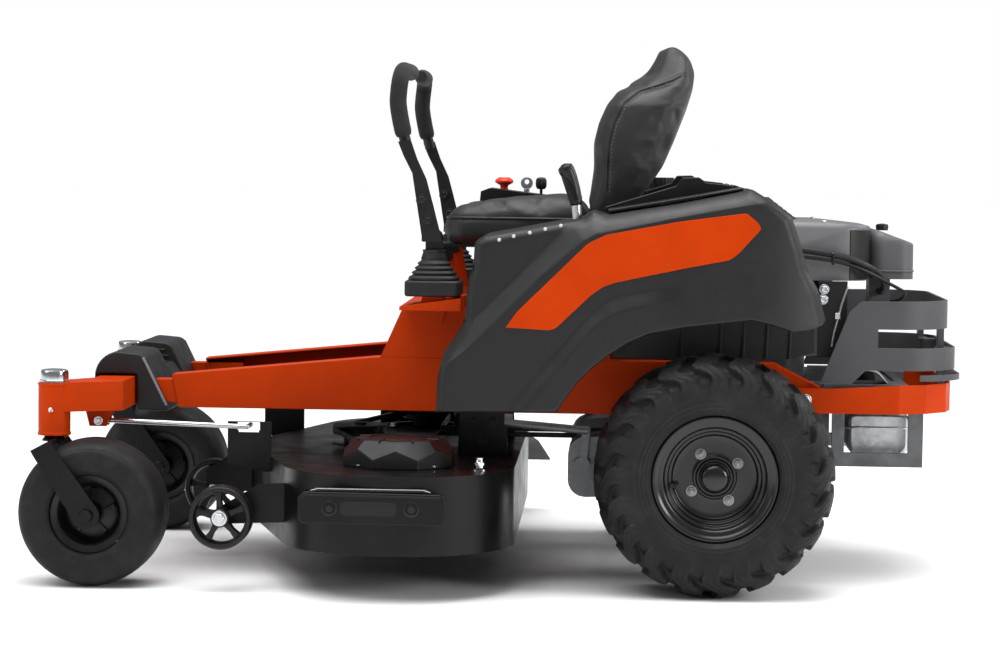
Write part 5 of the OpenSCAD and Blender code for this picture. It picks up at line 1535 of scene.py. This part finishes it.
def axle_bolts():
    """Bolt heads under the front axle, on its clevis and along the frame."""
    bolts = Shape()
    for s in (1, -1):
        bolts.bolt((1187, s * 100, 330), (0, 0, -1), 9, 6)
    bolts.bolt((1187, 356, 305), (0, 1, 0), 6.5, 5)
    bolts.bolt((1187, 312, 305), (0, -1, 0), 6.5, 5)
    bolts.piece("axle_bolts", "bare_steel", "chassis", bevel=0.6)
    riser = Shape()
    for s in (1, -1):
        for x in (260, 420):
            riser.bolt((x, s * 257.3, 446), (0, s, 0), 8, 5)
        for x in (-150, -180):
            riser.bolt((x, s * 280.3, 362), (0, s, 0), 8.5, 5.5)
    riser.piece("frame_bolts", "bare_steel", "chassis", bevel=0.6)


# ---- deck ----

def bumper_details():
    """The deck's side plate: ridge, blank recessed panel, two ringed bolts, cap strip, and a pale strip painted along
    the cap's upper edge as a highlight.
    """
    plate = Shape()
    outline = [(503, 147), (760, 149), (768, 158), (768, 196), (757, 207), (506, 205), (497, 196), (497, 156)]
    plate.prism(curve_corners([*outline, outline[0]], 5)[:-1], 628, 634, "xz")
    plate.piece("deck_side_plate", "black_paint", "deck", bevel=2.6, segments=4)
    frame_edge = Shape()
    frame_edge.prism([(506, 201), (757, 203), (763, 197), (761, 194.4), (756, 199.4), (506, 197.4)], 633.4,
                     634.8, "xz")
    frame_edge.piece("side_plate_ridge", "satin_black", "deck", bevel=0.5)
    panel = Shape()
    panel.prism(curve_corners([(640, 189), (690, 189), (690, 164), (587, 164), (587, 189), (640, 189)], 8)[:-1],
                633.2, 634.7, "xz")
    panel.piece("side_plate_panel", "satin_black", "deck", bevel=1.2)
    for k, x in enumerate((710, 559)):
        ring = Shape()
        ring.lathe([(14.5, 0), (14.5, 1.6), (13.2, 2.4), (11.4, 2.4), (10.4, 1.4), (9.2, -1.5), (8.8, -1.5)],
                   (x, 633.6, 177), "y", 40)
        ring.piece("plate_ring_%d" % (k + 1), "satin_black", "deck", smooth=40)
    bolts = Shape()
    for x in (710, 559):
        bolts.bolt((x, 632.6, 177), (0, 1, 0), 7.2, 3.2, washer=False)
    bolts.piece("plate_bolts", "dark_metal", "deck", bevel=0.5)
    strip = Shape()
    strip.prism([(520, 207.2), (535, 214), (735, 214), (752, 207.2)], 622, 630, "xz")
    strip.piece("side_plate_cap", "satin_black", "deck", bevel=1.5)
    # a thin pale strip on the cap's face along its upper edge: a painted highlight
    light = Shape()
    light.prism([(524, 209.2), (537, 213.2), (733, 213.2), (746, 209.2), (744, 208.6), (732, 212.2), (538, 212.2),
                 (526, 208.6)], 630.0, 630.5, "xz")
    light.piece("cap_painted_highlight", "white_print_and_highlight", "deck")


def cover_details(side, name):
    """Bolts, radial ribs and the raised ring on a belt cover."""
    bolts = Shape(side)
    for k in range(4):
        a = radians(45 + 90 * k)
        bolts.bolt((600 + 96 * cos(a), 403 + 96 * sin(a), 240), (0, 0, 1), 7, 5)
    bolts.piece("cover_bolts_" + name, "bare_steel", "deck", bevel=0.5)
    rib = Shape(side)
    for k in range(8):
        a = radians(22.5 + 45 * k)
        rib.tube([(600 + 60 * cos(a), 403 + 60 * sin(a), 287.4), (600 + 84 * cos(a), 403 + 84 * sin(a), 286.4)],
                 [2.2, 2.2], 8)
    rib.lathe([(58, 0), (58, 3.4), (61, 3.4), (62, 0)], (600, 403, 285), "z", 64)
    rib.piece("cover_ribs_" + name, "black_plastic", "deck", bevel=0.6)


def deck_fittings():
    """The wash-out port and the bolts of the deck's hanger brackets."""
    port = Shape()
    port.lathe([(15, 0), (15, 3), (9, 4), (9, 9), (12, 10), (12, 15), (8, 16), (7, 20), (8.2, 21), (8.2, 24), (6, 25),
                (0.3, 25)], (442, 480, 235), "z", 32)
    port.piece("washout_fitting", "chrome", "deck", smooth=30)
    pin = Shape()
    for s in (1, -1):
        for x, z in ((430, 300), (470, 300), (450, 262)):
            pin.bolt((x, s * 189.4, z), (0, s, 0), 8, 5)
    pin.piece("bracket_bolts", "dark_metal", "deck", bevel=0.5)


def scalp_wheel(name, centre, half):
    """An anti-scalp wheel with a hub and five spokes, and the bolt that it turns on."""
    x, y, z = centre
    hub = Shape()
    hub.bolt((x, y + half + 0.5, z), (0, 1, 0), 11, 8)
    hub.bolt((x, y - half - 8, z), (0, -1, 0), 9, 6)
    hub.piece("roller_bolt_" + name, "bare_steel", "deck", bevel=0.5)
    wheel = Shape()
    face = [(46.5, half * 0.30), (49.5, half * 0.92), (52, half), (57.5, half * 0.98), (59.9, half * 0.78),
            (59.9, half * 0.4)]
    wheel.lathe(face + [(r, -t) for r, t in reversed(face)], centre, "y", 96, closed=True)
    wheel.lathe([(8.4, half), (15, half), (17.5, half - 1.5), (18, half - 4), (18, -half + 4), (17.5, -half + 1.5),
                 (15, -half), (8.4, -half)], centre, "y", 48, closed=True)
    for k in range(5):
        a = radians(72 * k + 12)
        c, s = cos(a), sin(a)
        spoke = [(x + r * c - w * s, z + r * s + w * c)
                 for r, w in ((16, 6.4), (32, 4.6), (48, 7.0), (48, -7.0), (32, -4.6), (16, -6.4))]
        wheel.prism(spoke, y - half * 0.45, y + half * 0.45, "xz")
    wheel.piece("scalp_wheel_" + name, "black_plastic", "antiscalp_" + name, bevel=1.3, smooth=40,
                replaces="roller_" + name)


for side, name in SIDES:
    footrest_hump(side, name)
    caster_caps(side, name)
    cover_details(side, name)
footrest_bridge()
axle_bolts()
bumper_details()
deck_fittings()
for name, centre, half in (("left", (928, 497, 140), 22), ("center", (1009, 0, 138), 19),
                           ("right", (928, -497, 140), 22)):
    scalp_wheel(name, centre, half)
